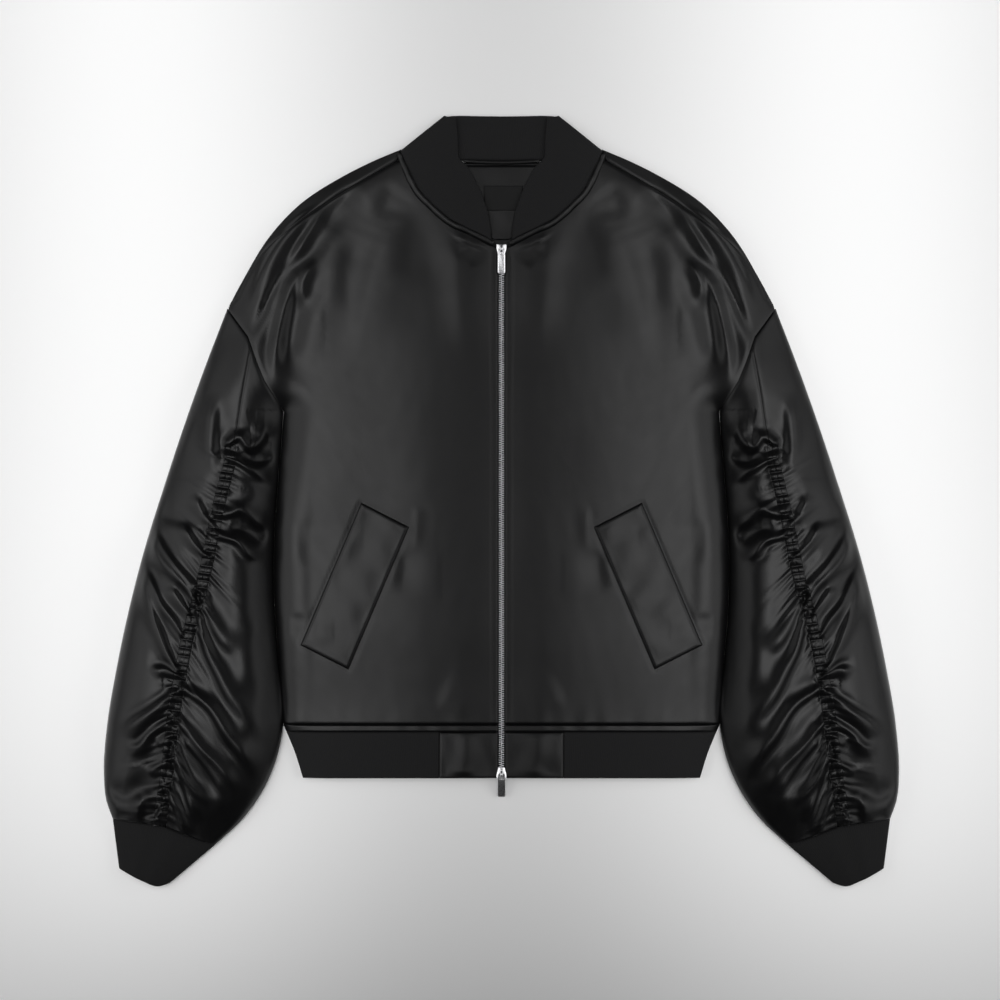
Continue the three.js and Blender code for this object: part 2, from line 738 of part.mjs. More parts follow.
// One sleeve panel: over the top from the centre seam, round its edge, and under
function sleevePanel({ folds, edgeLine, side, underSteps }) {
  const stations = foldStations(folds);
  const lastStation = stations.length - 1;
  const seamFoot = lines.seam.points.at(-1);
  const cuffStart = seamFoot.x + side * seamOffset(seamFoot.y);
  const cuffStop = edgeLine.points.at(-1).x;
  const underStop = lines.under.points.at(-1).x + side * seamGap / 2;

  const grid = stations.map((station, k) => {
    const atArmhole = Math.max(0, 1 - k / 4) ** 2;
    const atCuff = Math.max(0, 1 - (lastStation - k) / 4) ** 2;
    const start = point(lines.seam.xAt(station.seam) + side * seamOffset(station.seam), station.seam);
    const stop = point(edgeLine.xAt(station.edge), station.edge);
    const under = lines.under.at(k / lastStation);
    under.x += side * seamGap / 2;

    // A place on the way from a to b, drawn onto the armhole or the cuff seam near them
    const between = (a, b, share, armholeY, cuffX) => {
      const plain = a.clone().lerp(b, share);
      const armY = lerp(armholeY[0], armholeY[1], share);
      const onArmhole = point(lines.armhole.xAt(armY) + 0.25, armY);
      const seamX = lerp(cuffX[0], cuffX[1], share);
      const onCuff = point(seamX, lines.cuffSeam.yAt(seamX) + seamGap / 2);
      return plain.lerp(onArmhole, atArmhole).lerp(onCuff, atCuff);
    };
    const armTop = [folds[0].seam, folds[0].edge];
    const armUnder = [folds[0].edge, armholeUnder];
    const row = sleeveAcross.map((share) => {
      const p = between(start, stop, share, armTop, [cuffStart, cuffStop]);
      const fade = smooth(share / 0.14) * lerp(1, 0.12, smooth((share - station.reach + 0.3) / 0.3));
      p.z = heightAt(p.x, p.y) + station.rise * fade;
      return p;
    });
    row.at(-1).z = rollHeight;
    const underLength = stop.distanceTo(under);
    const turns = [rollTurn, { inset: rollInset, z: 0 }];
    for (const turn of turns) {
      const share = turn.inset / underLength;
      const p = between(stop, under, share, armUnder, [cuffStop, underStop]);
      row.push(point(p.x, p.y, turn.z));
    }
    for (const share of underSteps) {
      const p = between(stop, under, share, armUnder, [cuffStop, underStop]);
      row.push(point(p.x, p.y, 0));
    }
    return row;
  });
  return wall(grid, clothWall, { flip: side < 0 });
}

// The gathered band, its puckers standing across it on both sides of the seam
function makeRuche() {
  const firstY = bandTaper.from - 5;
  const lastY = lines.seam.points.at(-1).y + 0.4;
  const steps = gathersPerSleeve * 2;
  const sections = [];
  for (let k = 0; k <= steps; k += 1) {
    const y = lerp(firstY, lastY, k / steps);
    const middle = lines.seam.xAt(y);
    const half = seamOffset(y) - seamGap;
    const wave = k % 2 === 0 ? -0.4 : 1;
    const uneven = 0.75 + 0.25 * Math.sin(k * 1.7);
    const rise = gatherRise * wave * uneven;
    const base = heightAt(middle, y);
    sections.push([
      point(middle - half, y, base),
      point(middle - half * 0.5, y, base + 0.6 + rise),
      point(middle, y, base - 0.5 + rise * 0.25),
      point(middle + half * 0.5, y, base + 0.6 + rise),
      point(middle + half, y, base),
      point(middle + half, y, base - clothWall),
      point(middle - half, y, base - clothWall),
    ]);
  }
  return loft(sections);
}

function makeCuff() {
  const rings = 4;
  const across = [0, 0.08, 0.28, 0.526, 0.78, 0.92, 1];
  const [innerEnd, , outerEnd] = cuffSeam;
  const grid = [];
  for (let i = 0; i <= rings; i += 1) {
    const along = i / rings;
    const crown = lerp(14, 11.5, along);
    const place = (share) => {
      const x = lerp(innerEnd.x, outerEnd.x, share);
      const upper = point(x, lines.cuffSeam.yAt(x) - seamGap / 2);
      return upper.lerp(lines.cuffEnd.at(share), along);
    };
    const width = place(0).distanceTo(place(1));
    const ring = across.map((share) => {
      const p = place(share);
      p.z = lerp(rollHeight - 0.5, crown, Math.sin(Math.PI * share) ** 0.55);
      return p;
    });
    const under = [
      { share: 1 - rollTurn.inset / width, z: rollTurn.z },
      { share: 1 - rollInset / width, z: 0 },
      { share: underShares[0], z: 0 },
      { share: rollInset / width, z: 0 },
      { share: rollTurn.inset / width, z: rollTurn.z },
    ];
    for (const { share, z } of under) {
      const p = place(share);
      ring.push(point(p.x, p.y, z));
    }
    grid.push(ring);
  }
  return wall(grid, ribWall, { ring: true });
}

// Hem: a band that runs from one front round the back to the other
function hemBand(frontX, fromY, toY, thickness, lift) {
  const across = [0, 0.25, 0.5, 0.75, 0.9, 0.97];
  const levels = [fromY, lerp(fromY, toY, 0.5), toY];
  const sideAt = (y) => (y > hemSideEdge[0].y ? lines.side.xAt(y) : lines.hemSide.xAt(y));
  const half = [];
  for (const share of across) {
    half.push(levels.map((y) => {
      const x = lerp(frontX, sideAt(y), share);
      return point(x, y, heightAt(x, y) + lift);
    }));
  }
  half.push(levels.map((y) => point(sideAt(y), y, rollHeight)));
  half.push(levels.map((y) => point(sideAt(y) - rollTurn.inset, y, rollTurn.z)));
  half.push(levels.map((y) => point(sideAt(y) - rollInset, y, 0)));
  const middle = levels.map((y) => point(0, y, 0));
  const other = half.map((row) => row.map((p) => point(-p.x, p.y, p.z))).reverse();
  return wall([...half, middle, ...other], thickness, { flip: true });
}

function makeHemTab() {
  const across = [0, 0.5, 1];
  const levels = [hemSeam.ribFrom, lerp(hemSeam.ribFrom, hemEnd, 0.5), hemEnd];
  const grid = levels.map((y) => across.map((share) => {
    const x = lerp(zipEdge, hemTabWidth, share);
    return point(x, y, heightAt(x, y));
  }));
  return wall(grid, ribWall);
}

// Collar: the back half lies flat with its inside up, the front halves lie over it
function collarStations() {
  const backHeight = ribWall / 2;
  const stations = collarBack.map((row) => ({
    sewn: point(row.sewnX, row.sewnY, backHeight),
    free: point(row.freeX, row.freeY, backHeight),
    outward: point(0, 0, -1),
  }));
  const sewnTop = heightAt(neckInside.at(0).x, neckInside.at(0).y) - ribWall / 2;
  const freeTop = collarFront[0].freeHeight;
  const foldSewn = point(collarFold.sewnX, collarFold.sewnY);
  const foldFree = point(collarFold.freeX, collarFold.freeY);
  const alongFold = foldSewn.clone().sub(foldFree).normalize();
  const away = point(-alongFold.y, alongFold.x);
  const turn = (corner, topHeight, angle) => {
    const radius = (topHeight - backHeight) / 2;
    const middle = corner.clone().addScaledVector(away, -radius - ribWall / 2);
    middle.z = (topHeight + backHeight) / 2;
    return middle.addScaledVector(away, radius * Math.cos(angle)).add(point(0, 0, radius * Math.sin(angle)));
  };
  for (const degrees of [-50, 0, 50]) {
    const angle = THREE.MathUtils.degToRad(degrees);
    stations.push({
      sewn: turn(foldSewn, sewnTop, angle),
      free: turn(foldFree, freeTop, angle),
      outward: away.clone().multiplyScalar(Math.cos(angle)).add(point(0, 0, Math.sin(angle))),
    });
  }
  for (const row of collarFront) {
    const sewn = neckInside.at(row.share);
    sewn.z = heightAt(sewn.x, sewn.y) - ribWall / 2;
    stations.push({
      sewn,
      free: point(row.freeX, row.freeY, row.freeHeight),
      outward: point(0, 0, 1),
    });
  }
  return stations;
}

function makeCollar() {
  const half = collarStations();
  const flipX = (p) => point(-p.x, p.y, p.z);
  const other = half.slice(1).reverse().map((station) => ({
    sewn: flipX(station.sewn),
    free: flipX(station.free),
    outward: flipX(station.outward),
  }));
  const sections = [...other, ...half].map(({ sewn, free, outward }) => {
    const middle = sewn.clone().lerp(free, 0.5);
    const upper = [sewn, middle, free].map((p) => p.clone().addScaledVector(outward, ribWall / 2));
    const lower = [free, middle, sewn].map((p) => p.clone().addScaledVector(outward, -ribWall / 2));
    return [...upper, ...lower];
  });
  return loft(sections);
}

function makePiping() {
  const steps = 16;
  const sides = 6;
  const sections = [];
  for (let k = 0; k <= steps; k += 1) {
    const share = k / steps;
    const middle = lines.neck.at(share);
    const along = lines.neck.at(share + 0.02).sub(lines.neck.at(share - 0.02)).normalize();
    const across = point(along.y, -along.x);
    middle.z = heightAt(middle.x, middle.y) - 0.4;
    sections.push(Array.from({ length: sides }, (_, side) => {
      const angle = (side / sides) * Math.PI * 2;
      const p = middle.clone().addScaledVector(across, pipingRadius * Math.cos(angle));
      return p.add(point(0, 0, pipingRadius * 0.8 * Math.sin(angle)));
    }));
  }
  return loft(sections);
}

function makeFacing() {
  const inside = lines.neck.beside(2 * pipingRadius);
  const half = [];
  for (let k = 0; k <= 10; k += 1) {
    const p = inside.at(k / 10);
    half.push([p.x, p.y]);
  }
  const other = [...half].reverse().map(([x, y]) => [-x, y]);
  const low = clothWall + seamGap;
  return extruded([...half, ...other], low, low + facingWall);
}

const patch = { fromX: -18, toX: 22, fromY: 296.5, toY: 322, wall: 0.8 };

function makePatch() {
  const low = clothWall + facingWall + 2 * seamGap;
  const { fromX, toX, fromY, toY } = patch;
  return extruded([[fromX, fromY], [toX, fromY], [toX, toY], [fromX, toY]], low, low + patch.wall);
}

const loop = { half: 39, y: 347.4, sag: 1.6, baseHalf: 2, topHalf: 1.4, wall: 1.6 };

function makeHangerLoop() {
  const low = clothWall + facingWall + 2 * seamGap;
  const steps = 8;
  const sections = [];
  for (let k = 0; k <= steps; k += 1) {
    const share = k / steps;
    const x = lerp(-loop.half, loop.half, share);
    const y = loop.y - loop.sag * Math.sin(Math.PI * share);
    sections.push([
      point(x, y - loop.baseHalf, low),
      point(x, y + loop.baseHalf, low),
      point(x, y + loop.topHalf, low + loop.wall),
      point(x, y - loop.topHalf, low + loop.wall),
    ]);
  }
  return loft(sections);
}

// Zip
const tapeEnds = { top: 259, bottom: -282 };
const zipLevels = [];
for (let y = 240; y > -260; y -= 48) zipLevels.push(y);
zipLevels.push(-272);
const zipTop = (y) => heightAt(0, y);

function makeChain() {
  const from = topSlider.y + slider.postFrom - seamGap;
  const to = bottomSlider.y - slider.postFrom + seamGap;
  const levels = [from, ...zipLevels, to];
  return loft(levels.map((y) => {
    const top = zipTop(y);
    return [
      point(-chainHalf, y, top - 2.4),
      point(chainHalf, y, top - 2.4),
      point(chainHalf, y, top - 0.6),
      point(0, y, top),
      point(-chainHalf, y, top - 0.6),
    ];
  }));
}

function makeTape() {
  const levels = [tapeEnds.top, ...zipLevels, tapeEnds.bottom];
  return loft(levels.map((y) => {
    const cover = y > hemSeam.bodyEnd + 12 ? clothWall : ribWall;
    const top = Math.min(zipTop(y), heightAt(tapeWidth, y)) - cover - 0.6;
    const inner = chainHalf + seamGap;
    const outer = inner + tapeWidth;
    return [
      point(inner, y, top - tapeWall),
      point(outer, y, top - tapeWall),
      point(outer, y, top),
      point(inner, y, top),
    ];
  }));
}

// Slider: two plates joined by a post in the nose, with an arch for the pull tab.
// Its own origin is the pull tab's axis, and the nose points along +Y.
function makeSlider() {
  const plateTop = -arch.opening / 2;
  const plateLow = plateTop - slider.plate;
  const underTop = plateLow - 4.8;
  const noseEnd = slider.noseLength;
  const wideEnd = -slider.wideLength;
  const outline = [
    [-slider.wideHalf + 0.8, wideEnd],
    [slider.wideHalf - 0.8, wideEnd],
    [slider.wideHalf, wideEnd + 1.5],
    [slider.wideHalf, -slider.axisInset - 1.5],
    [slider.noseHalf, -slider.axisInset + 0.6],
    [slider.noseHalf, noseEnd - 0.6],
    [slider.noseHalf - 0.6, noseEnd],
    [-slider.noseHalf + 0.6, noseEnd],
    [-slider.noseHalf, noseEnd - 0.6],
    [-slider.noseHalf, -slider.axisInset + 0.6],
    [-slider.wideHalf, -slider.axisInset - 1.5],
    [-slider.wideHalf, wideEnd + 1.5],
  ];
  const box = (halfX, y1, y2, z1, z2) => extruded(
    [[-halfX, y1], [halfX, y1], [halfX, y2], [-halfX, y2]],
    z1,
    z2,
  );
  const archTop = plateTop + arch.opening;
  return joined([
    extruded(outline, plateLow, plateTop),
    extruded(outline, underTop - slider.plate, underTop),
    box(slider.noseHalf - 0.5, slider.postFrom, noseEnd - 0.6, underTop - 0.2, plateLow + 0.2),
    box(arch.half, -arch.reach, -arch.reach + arch.leg, plateTop - 0.2, archTop + 0.2),
    box(arch.half, arch.reach - arch.leg, arch.reach, plateTop - 0.2, archTop + 0.2),
    box(arch.half, -arch.reach, arch.reach, archTop, archTop + arch.wall),
  ]);
}

// Pull tab: a ring round the arch and a tongue, along -Y from its axis
function makePull() {
  const tip = -pull.length;
  const outline = [
    [-pull.ringHalf, pull.barHalf],
    [pull.ringHalf, pull.barHalf],
    [pull.ringHalf, -pull.window - 0.7],
    [pull.half, -pull.window - 2],
    [pull.half, tip + pull.half],
  ];
  for (let k = 1; k < 8; k += 1) {
    const angle = (k / 8) * Math.PI;
    outline.push([pull.half * Math.cos(angle), tip + pull.half - pull.half * Math.sin(angle)]);
  }
  outline.push([-pull.half, tip + pull.half], [-pull.half, -pull.window - 2]);
  outline.push([-pull.ringHalf, -pull.window - 0.7]);
  const open = pull.ringHalf - pull.ringBar;
  const hole = [[-open, -pull.window], [open, -pull.window], [open, -pull.barHalf], [-open, -pull.barHalf]];
  return extruded(outline, -pull.barHalf, pull.barHalf, [hole]);
}

// Materials
function finish(color, roughness, metalness = 0) {
  return new THREE.MeshStandardMaterial({ color, roughness, metalness });
}
const satin = () => finish('#17171a', 0.35);
const rib = () => finish('#1f1f21', 0.95);
const tapeCloth = () => finish('#151517', 0.9);
const silver = () => finish('#b9bbbe', 0.28, 1);

// Assembly
const jacket = new THREE.Group();

function add(name, geometry, material) {
  const mesh = new THREE.Mesh(geometry, material);
  mesh.name = name;
  jacket.add(mesh);
  return mesh;
}

// The +X piece and its mirror image, named for the wearer's left and right
function addPair(name, geometry, makeMaterial) {
  add(`${name}_left`, geometry, makeMaterial());
  add(`${name}_right`, mirrored(geometry), makeMaterial());
}

add('back_panel', makeBack(), satin());
addPair('front', makeFront(), satin);
addPair('sleeve_outer', sleevePanel({
  folds: outerFolds,
  edgeLine: lines.outer,
  side: 1,
  underSteps: underShares,
}), satin);
addPair('sleeve_inner', sleevePanel({
  folds: innerFolds,
  edgeLine: lines.inner,
  side: -1,
  underSteps: [1],
}), satin);
addPair('ruche', makeRuche(), satin);
addPair('cuff', makeCuff(), rib);
addPair('pocket_welt', makeWelt(), satin);
add('collar', makeCollar(), rib());
addPair('neck_piping', makePiping(), satin);
add('neck_facing', makeFacing(), satin());
add('label_patch', makePatch(), tapeCloth());
add('hanger_loop', makeHangerLoop(), satin());
add('hem_piping', hemBand(zipEdge, hemSeam.pipingFrom, hemSeam.pipingTo, clothWall, 0.4), satin());
add('hem_rib', hemBand(hemTabWidth + seamGap, hemSeam.ribFrom, hemEnd, ribWall, 0), rib());
addPair('hem_tab', makeHemTab(), satin);
add('zip_chain', makeChain(), silver());
addPair('zip_tape', makeTape(), tapeCloth);

for (const [name, place] of [['top', topSlider], ['bottom', bottomSlider]]) {
  const axisHeight = zipTop(place.y) + seamGap + slider.plate + arch.opening / 2 + 0.2;
  const body = add(`slider_${name}`, makeSlider(), silver());
  body.position.set(0, place.y, axisHeight);
  body.rotation.z = place.nose > 0 ? 0 : Math.PI;
  const tab = add(`pull_tab_${name}`, makePull(), silver());
  tab.position.set(0, place.y, axisHeight);
  tab.rotation.x = THREE.MathUtils.degToRad(place.tilt);
}

export default jacket;
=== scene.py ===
import bpy
import json
import math
import numpy as np
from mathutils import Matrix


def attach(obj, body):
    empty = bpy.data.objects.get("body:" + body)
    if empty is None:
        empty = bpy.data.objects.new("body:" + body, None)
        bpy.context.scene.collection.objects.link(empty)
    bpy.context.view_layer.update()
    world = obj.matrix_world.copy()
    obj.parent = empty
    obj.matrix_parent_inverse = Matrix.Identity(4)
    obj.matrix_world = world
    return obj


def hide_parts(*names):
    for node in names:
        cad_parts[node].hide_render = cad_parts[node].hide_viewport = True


# Satin bomber jacket laid flat on its back. Lengths are in millimetres until a mesh is made.
# Outlines are drawn for the wearer's left half, on the +X side, and mirrored for the other.
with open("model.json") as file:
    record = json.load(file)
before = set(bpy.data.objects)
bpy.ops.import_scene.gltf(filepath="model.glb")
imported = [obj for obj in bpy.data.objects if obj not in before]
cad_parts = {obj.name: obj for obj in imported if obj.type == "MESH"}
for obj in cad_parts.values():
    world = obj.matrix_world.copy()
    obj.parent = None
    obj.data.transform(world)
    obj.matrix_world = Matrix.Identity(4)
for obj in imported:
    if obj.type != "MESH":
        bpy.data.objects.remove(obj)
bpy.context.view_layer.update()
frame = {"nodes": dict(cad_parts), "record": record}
mm = 0.001
body = "jacket"
print("frame loaded:", len(frame["nodes"]), "nodes")


def mix(a, b, t):
    return a + (b - a) * t


def smooth(t):
    t = np.clip(t, 0, 1)
    return t * t * (3 - 2 * t)


def smoothLine(rows, steps=60):
    # evenly spaced points on a curve through the rows
    p = np.array(rows, float)
    t = np.concatenate([[0], np.cumsum(np.hypot(*np.diff(p, axis=0).T))])
    lean = np.gradient(p, t, axis=0)
    s = np.linspace(0, t[-1], 400)
    k = np.clip(np.searchsorted(t, s, side="right") - 1, 0, len(t) - 2)
    h = (t[k + 1] - t[k])[:, None]
    u = ((s - t[k]) / (t[k + 1] - t[k]))[:, None]
    q = (2 * u**3 - 3 * u**2 + 1) * p[k] + (u**3 - 2 * u**2 + u) * h * lean[k]
    q += (3 * u**2 - 2 * u**3) * p[k + 1] + (u**3 - u**2) * h * lean[k + 1]
    length = np.concatenate([[0], np.cumsum(np.hypot(*np.diff(q, axis=0).T))])
    even = np.linspace(0, length[-1], steps + 1)
    return np.column_stack([np.interp(even, length, q[:, 0]), np.interp(even, length, q[:, 1])])


def xAt(line, y):
    return np.interp(y, line[::-1, 1], line[::-1, 0])


def pointAt(line, share):
    place = np.clip(share, 0, 1) * (len(line) - 1)
    steps = np.arange(len(line))
    return np.stack([np.interp(place, steps, line[:, 0]), np.interp(place, steps, line[:, 1])], axis=-1)


def beside(line, distance):
    # parallel line, to the right of the way the line runs
    along = np.gradient(line, axis=0)
    along /= np.linalg.norm(along, axis=1)[:, None]
    return line + np.column_stack([along[:, 1], -along[:, 0]]) * distance


def nearest(line, x, y):
    # distance to the line, the share of the way along it, and the side of it
    best = np.full(np.shape(x), 1e9)
    share = np.zeros(np.shape(x))
    side = np.ones(np.shape(x))
    steps = len(line) - 1
    for k in range(steps):
        ax, ay = line[k]
        dx, dy = line[k + 1] - line[k]
        t = np.clip(((x - ax) * dx + (y - ay) * dy) / (dx * dx + dy * dy), 0, 1)
        gapX = x - ax - dx * t
        gapY = y - ay - dy * t
        distance = np.hypot(gapX, gapY)
        closer = distance < best
        best = np.where(closer, distance, best)
        share = np.where(closer, (k + t) / steps, share)
        side = np.where(closer, np.sign(dx * gapY - dy * gapX), side)
    return best, share, side


# Outline and seams of the left half
lay = {
    "satinWall": 1.2,
    "ribWall": 2.4,
    "edgeHeight": 5,
    "turn": (0.12, 0.4, 0.9, 1.6, 2.6, 3.6, 4.5),
    "crownReach": (34, 44),
    "rollPower": (1.0, 0.65),
    "sleeveFrom": 190,
    "sleeveBlend": 75,
    "zipDip": (2, 26),
    "hemTop": -228.6,
    "hemEnd": -283.6,
    "armholeTop": 196,
    "armholeFoot": 90.8,
    "armholeUnder": 100,
}
shoulderEdge = smoothLine([
    (102.5, 359), (131, 347), (161, 332), (207, 302), (237, 270), (264, 226), (280, 196),
])
sleeveOuterEdge = smoothLine([
    (280, 196), (304, 134), (326, 72), (346, 11), (365, -50), (381, -112),
    (394, -174), (403.5, -232), (406.5, -280), (404, -307), (397.5, -325),
])
sideEdge = smoothLine([(222.4, 90.8), (227, 35), (232, -35), (232.5, -95), (228, -160), (223, -229)])
hemSideEdge = smoothLine([(223, -229), (211, -258), (203, -283.6)], 12)
sleeveInnerEdge = smoothLine([
    (222.6, 90.3), (227.15, 35), (232.15, -35), (232.65, -95), (228.15, -160),
    (223.3, -229), (230.5, -265), (245, -298), (266, -327), (293, -352),
])
armhole = np.array([
    (280, 196), (268, 180), (258, 167), (253, 153), (248, 139), (241, 122), (231.5, 106), (223, 90.8),
], float)
sleeveSeam = smoothLine([
    (253.8, 158.6), (264, 102), (274, 45), (287, -8), (299.5, -70),
    (318, -140), (330.5, -208), (338.5, -270), (348, -331),
])
underSeam = smoothLine([
    (228, 100), (243, 45), (247, -35), (248, -100), (244, -170), (242, -232), (256, -285), (304, -350),
])
cuffSeam = np.array([(293, -352), (348, -331), (397.5, -325)], float)
cuffEnd = smoothLine([(339, -391), (351, -394), (365, -389), (391, -376)], 24)
neckline = smoothLine([
    (99, 341), (92, 325), (84, 312), (74, 302), (61.5, 290.5), (48.5, 281), (33, 274.5),
    (20, 268), (8.6, 262),
], 48)
shoulderSeam = smoothLine([
    (104, 349), (140, 328), (179, 304), (214, 279), (246, 250), (262, 226), (271, 206),
])
rims = [shoulderEdge, sleeveOuterEdge, sideEdge, hemSideEdge, sleeveInnerEdge]

bodyHeights = [(-290, 10.5), (-229, 11.5), (-120, 16), (60, 18), (200, 15), (300, 12), (360, 9)]
sleeveHeights = [(-400, 12), (-345, 17), (-300, 26), (-220, 33), (-60, 33), (100, 27), (200, 20)]

# Folds that start at the gathers: outer ones run to the sleeve's edge, inner ones to the body
gatheredFolds = [
    {"rise": 5.0, "half": 5.5, "along": [(311, -86), (334, -62), (348, -42), (356, -22)]},
    {"rise": 4.6, "half": 5.0, "along": [(309, -106), (314, -93), (331, -76), (348, -57), (359, -33)]},
    {"rise": 3.6, "half": 4.0, "along": [(317, -114), (326, -101), (337, -85)]},
    {"rise": 4.8, "half": 5.0, "along": [(324, -134), (332, -121), (345, -105), (355, -85), (367, -62)]},
    {"rise": 5.2, "half": 5.5, "along": [(328, -172), (337, -157), (348, -130), (359, -101), (369, -73)]},
    {"rise": 4.4, "half": 5.0, "along": [(326, -178), (345, -171), (355, -176)]},
    {"rise": 6.0, "half": 6.5, "along": [(330, -193), (354, -213), (374, -228), (384, -242)]},
    {"rise": 4.8, "half": 4.5, "along": [(332, -220), (356, -236), (369, -250), (384, -248)]},
    {"rise": 3.6, "half": 4.5, "along": [(334, -237), (351, -247)]},
    {"rise": 4.0, "half": 5.0, "along": [(337, -262), (347, -268), (359, -279)]},
    {"rise": 3.4, "half": 5.0, "along": [(342, -290), (352, -297), (366, -302)]},
    {"rise": 3.6, "half": 4.5, "along": [(296, -58), (312, -42), (325, -20)]},
    {"rise": 3.0, "half": 4.5, "along": [(290, -28), (303, -12), (313, 8)]},
    {"rise": 5.5, "half": 5.5, "along": [(276, 58), (266, 64), (255, 53), (244, 62), (240, 70), (227, 64)]},
    {"rise": 4.5, "half": 5.0, "along": [(279, 44), (264, 38), (251, 29), (232, 17)]},
    {"rise": 5.5, "half": 5.5, "along": [(288, -14), (277, -14), (264, -10), (251, -20), (234, -31)]},
    {"rise": 5.0, "half": 5.0, "along": [(294, -34), (285, -37), (268, -41), (255, -55), (242, -59)]},
    {"rise": 5.2, "half": 6.0, "along": [(303, -98), (288, -133), (271, -157)]},
    {"rise": 5.6, "half": 6.0, "along": [(307, -112), (299, -150), (285, -179), (269, -208), (254, -225)]},
    {"rise": 6.0, "half": 6.0, "along": [(324, -190), (297, -208), (277, -239), (260, -262), (248, -287)]},
    {"rise": 5.2, "half": 5.5, "along": [(328, -222), (305, -250), (285, -271), (266, -301)]},
    {"rise": 4.2, "half": 5.0, "along": [(318, -246), (297, -271), (277, -304)]},
    {"rise": 4.8, "half": 4.5, "along": [(331, -250), (320, -282), (296, -312)]},
    {"rise": 5.0, "half": 4.5, "along": [(333, -258), (320, -293), (309, -330)]},
    {"rise": 5.0, "half": 4.5, "along": [(339, -292), (329, -316), (320, -344)]},
    {"rise": 3.6, "half": 4.0, "along": [(345, -312), (350, -322), (362, -327)]},
]

# Folds that hang from the shoulder, the neck and the hem: positive ones stand up
drapedFolds = [
    {"rise": 6.0, "half": 7, "along": [(177, 304), (209, 282), (244, 228), (257, 180)]},
    {"rise": -4.0, "half": 5, "along": [(202, 263), (234, 209), (253, 165)]},
    {"rise": 4.5, "half": 5, "along": [(177, 301), (196, 273), (228, 216), (250, 151)]},
    {"rise": 5.5, "half": 6.5, "along": [(184, 254), (209, 228), (222, 190), (231, 145), (228, 104)]},
    {"rise": 3.5, "half": 5, "along": [(187, 247), (199, 231), (204, 190)]},
    {"rise": -4.5, "half": 7, "along": [(209, 216), (217, 172), (220, 132)]},
    {"rise": -3.2, "half": 12, "along": [(145, 320), (166, 298), (187, 273)]},
    {"rise": -1.2, "half": 16, "along": [(104, 322), (114, 306), (118, 284)]},
    {"rise": 2.0, "half": 19, "along": [(88, 304), (123, 247), (139, 177), (145, 130)]},
    {"rise": -0.8, "half": 15, "along": [(76, 294), (91, 263), (94, 216)]},
    {"rise": 1.2, "half": 16, "along": [(66, 291), (47, 241), (41, 193), (34, 145)]},
    {"rise": -1.2, "half": 16, "along": [(142, 273), (155, 231), (148, 177)]},
    {"rise": 2.0, "half": 18, "along": [(145, 288), (177, 247), (193, 177), (205, 114)]},
    {"rise": 1.2, "half": 3, "along": [(50, 272), (31, 262), (10, 256)]},
    {"rise": -1.3, "half": 7, "along": [(44, 262), (34, 250), (26, 236)]},
    {"rise": -1.3, "half": 13, "along": [(200, -14), (200, -42), (194, -72)]},
    {"rise": -1.6, "half": 9, "along": [(207, -112), (209, -130), (211, -146)]},
    {"rise": -1.3, "half": 9, "along": [(98, -46), (99, -72), (104, -98)]},
    {"rise": 0.5, "half": 4, "along": [(87, -2), (87, -26), (88, -54)]},
    {"rise": 1.0, "half": 16, "along": [(66, -196), (44, -208), (28, -222)]},
    {"rise": 3.6, "half": 11, "along": [(292, 112), (297, 72), (294, 43), (286, 18)]},
    {"rise": -3.0, "half": 8, "along": [(283, 108), (285, 66), (281, 24)]},
    {"rise": -4.5, "half": 9, "along": [(404, -283), (385, -301), (363, -290), (348, -281)]},
    {"rise": 3.4, "half": 5, "along": [(371, -330), (369, -316), (364, -296)]},
    {"rise": -5.5, "half": 6, "along": [(266, 46), (250, 40), (230, 48)]},
    {"rise": -6.5, "half": 9, "along": [(276, -22), (256, -32), (238, -48)]},
    {"rise": -2.6, "half": 9, "along": [(352, -14), (326, -19), (300, -25)]},
]
weltCorners = [(143, -2), (94, -27), (156, -172.5), (205, -147.5)]
seams = [
    {"line": shoulderSeam, "deep": 0.9},
    {"line": armhole, "deep": 0.9},
    {"line": sleeveSeam[:13], "deep": 0.5},
    {"line": np.array(weltCorners + weltCorners[:1], float), "deep": 0.7},
]
gathers = {"pitch": 7.9, "rise": 2.0, "bandHalf": 6.8, "from": 62, "full": 38, "valley": 0.8}
unevenness = {"left": 3, "right": 8}
foldHeight = {"gathered": 0.82, "draped": 0.85}


def table(rows, y):
    ys, heights = np.array(rows, float).T
    k = np.clip(np.searchsorted(ys, y, side="right") - 1, 0, len(ys) - 2)
    return mix(heights[k], heights[k + 1], smooth((y - ys[k]) / (ys[k + 1] - ys[k])))


def ripple(x, y, seed, shortest, longest, rise):
    # slow uneven swell of laid cloth, the same on every run
    dice = np.random.RandomState(seed)
    total = np.zeros(np.shape(x))
    for _ in range(14):
        turn = dice.uniform(0, math.pi)
        k = 2 * math.pi / dice.uniform(shortest, longest)
        total += np.sin(k * (x * math.cos(turn) + y * math.sin(turn)) + dice.uniform(0, 6.3))
    return total * rise / 3.7


def turnHeight(inset):
    # the cloth rolls under its edge on a quarter of an ellipse
    return lay["edgeHeight"] * (1 - math.sqrt(1 - (1 - min(inset / lay["turn"][-1], 1)) ** 2))


def restHeight(x, y):
    inSleeve = smooth((x - lay["sleeveFrom"]) / lay["sleeveBlend"])
    crown = mix(table(bodyHeights, y), table(sleeveHeights, y), inSleeve)
    reach = mix(*lay["crownReach"], inSleeve)
    edge = np.min([nearest(rim, x, y)[0] for rim in rims], axis=0)
    inward = np.clip(edge / reach, 0, 1)
    roll = (1 - (1 - inward) ** 2) ** mix(*lay["rollPower"], inSleeve)
    height = lay["edgeHeight"] + (crown - lay["edgeHeight"]) * roll
    deep, spread = lay["zipDip"]
    return height - deep * np.exp(-((x / spread) ** 2)), edge


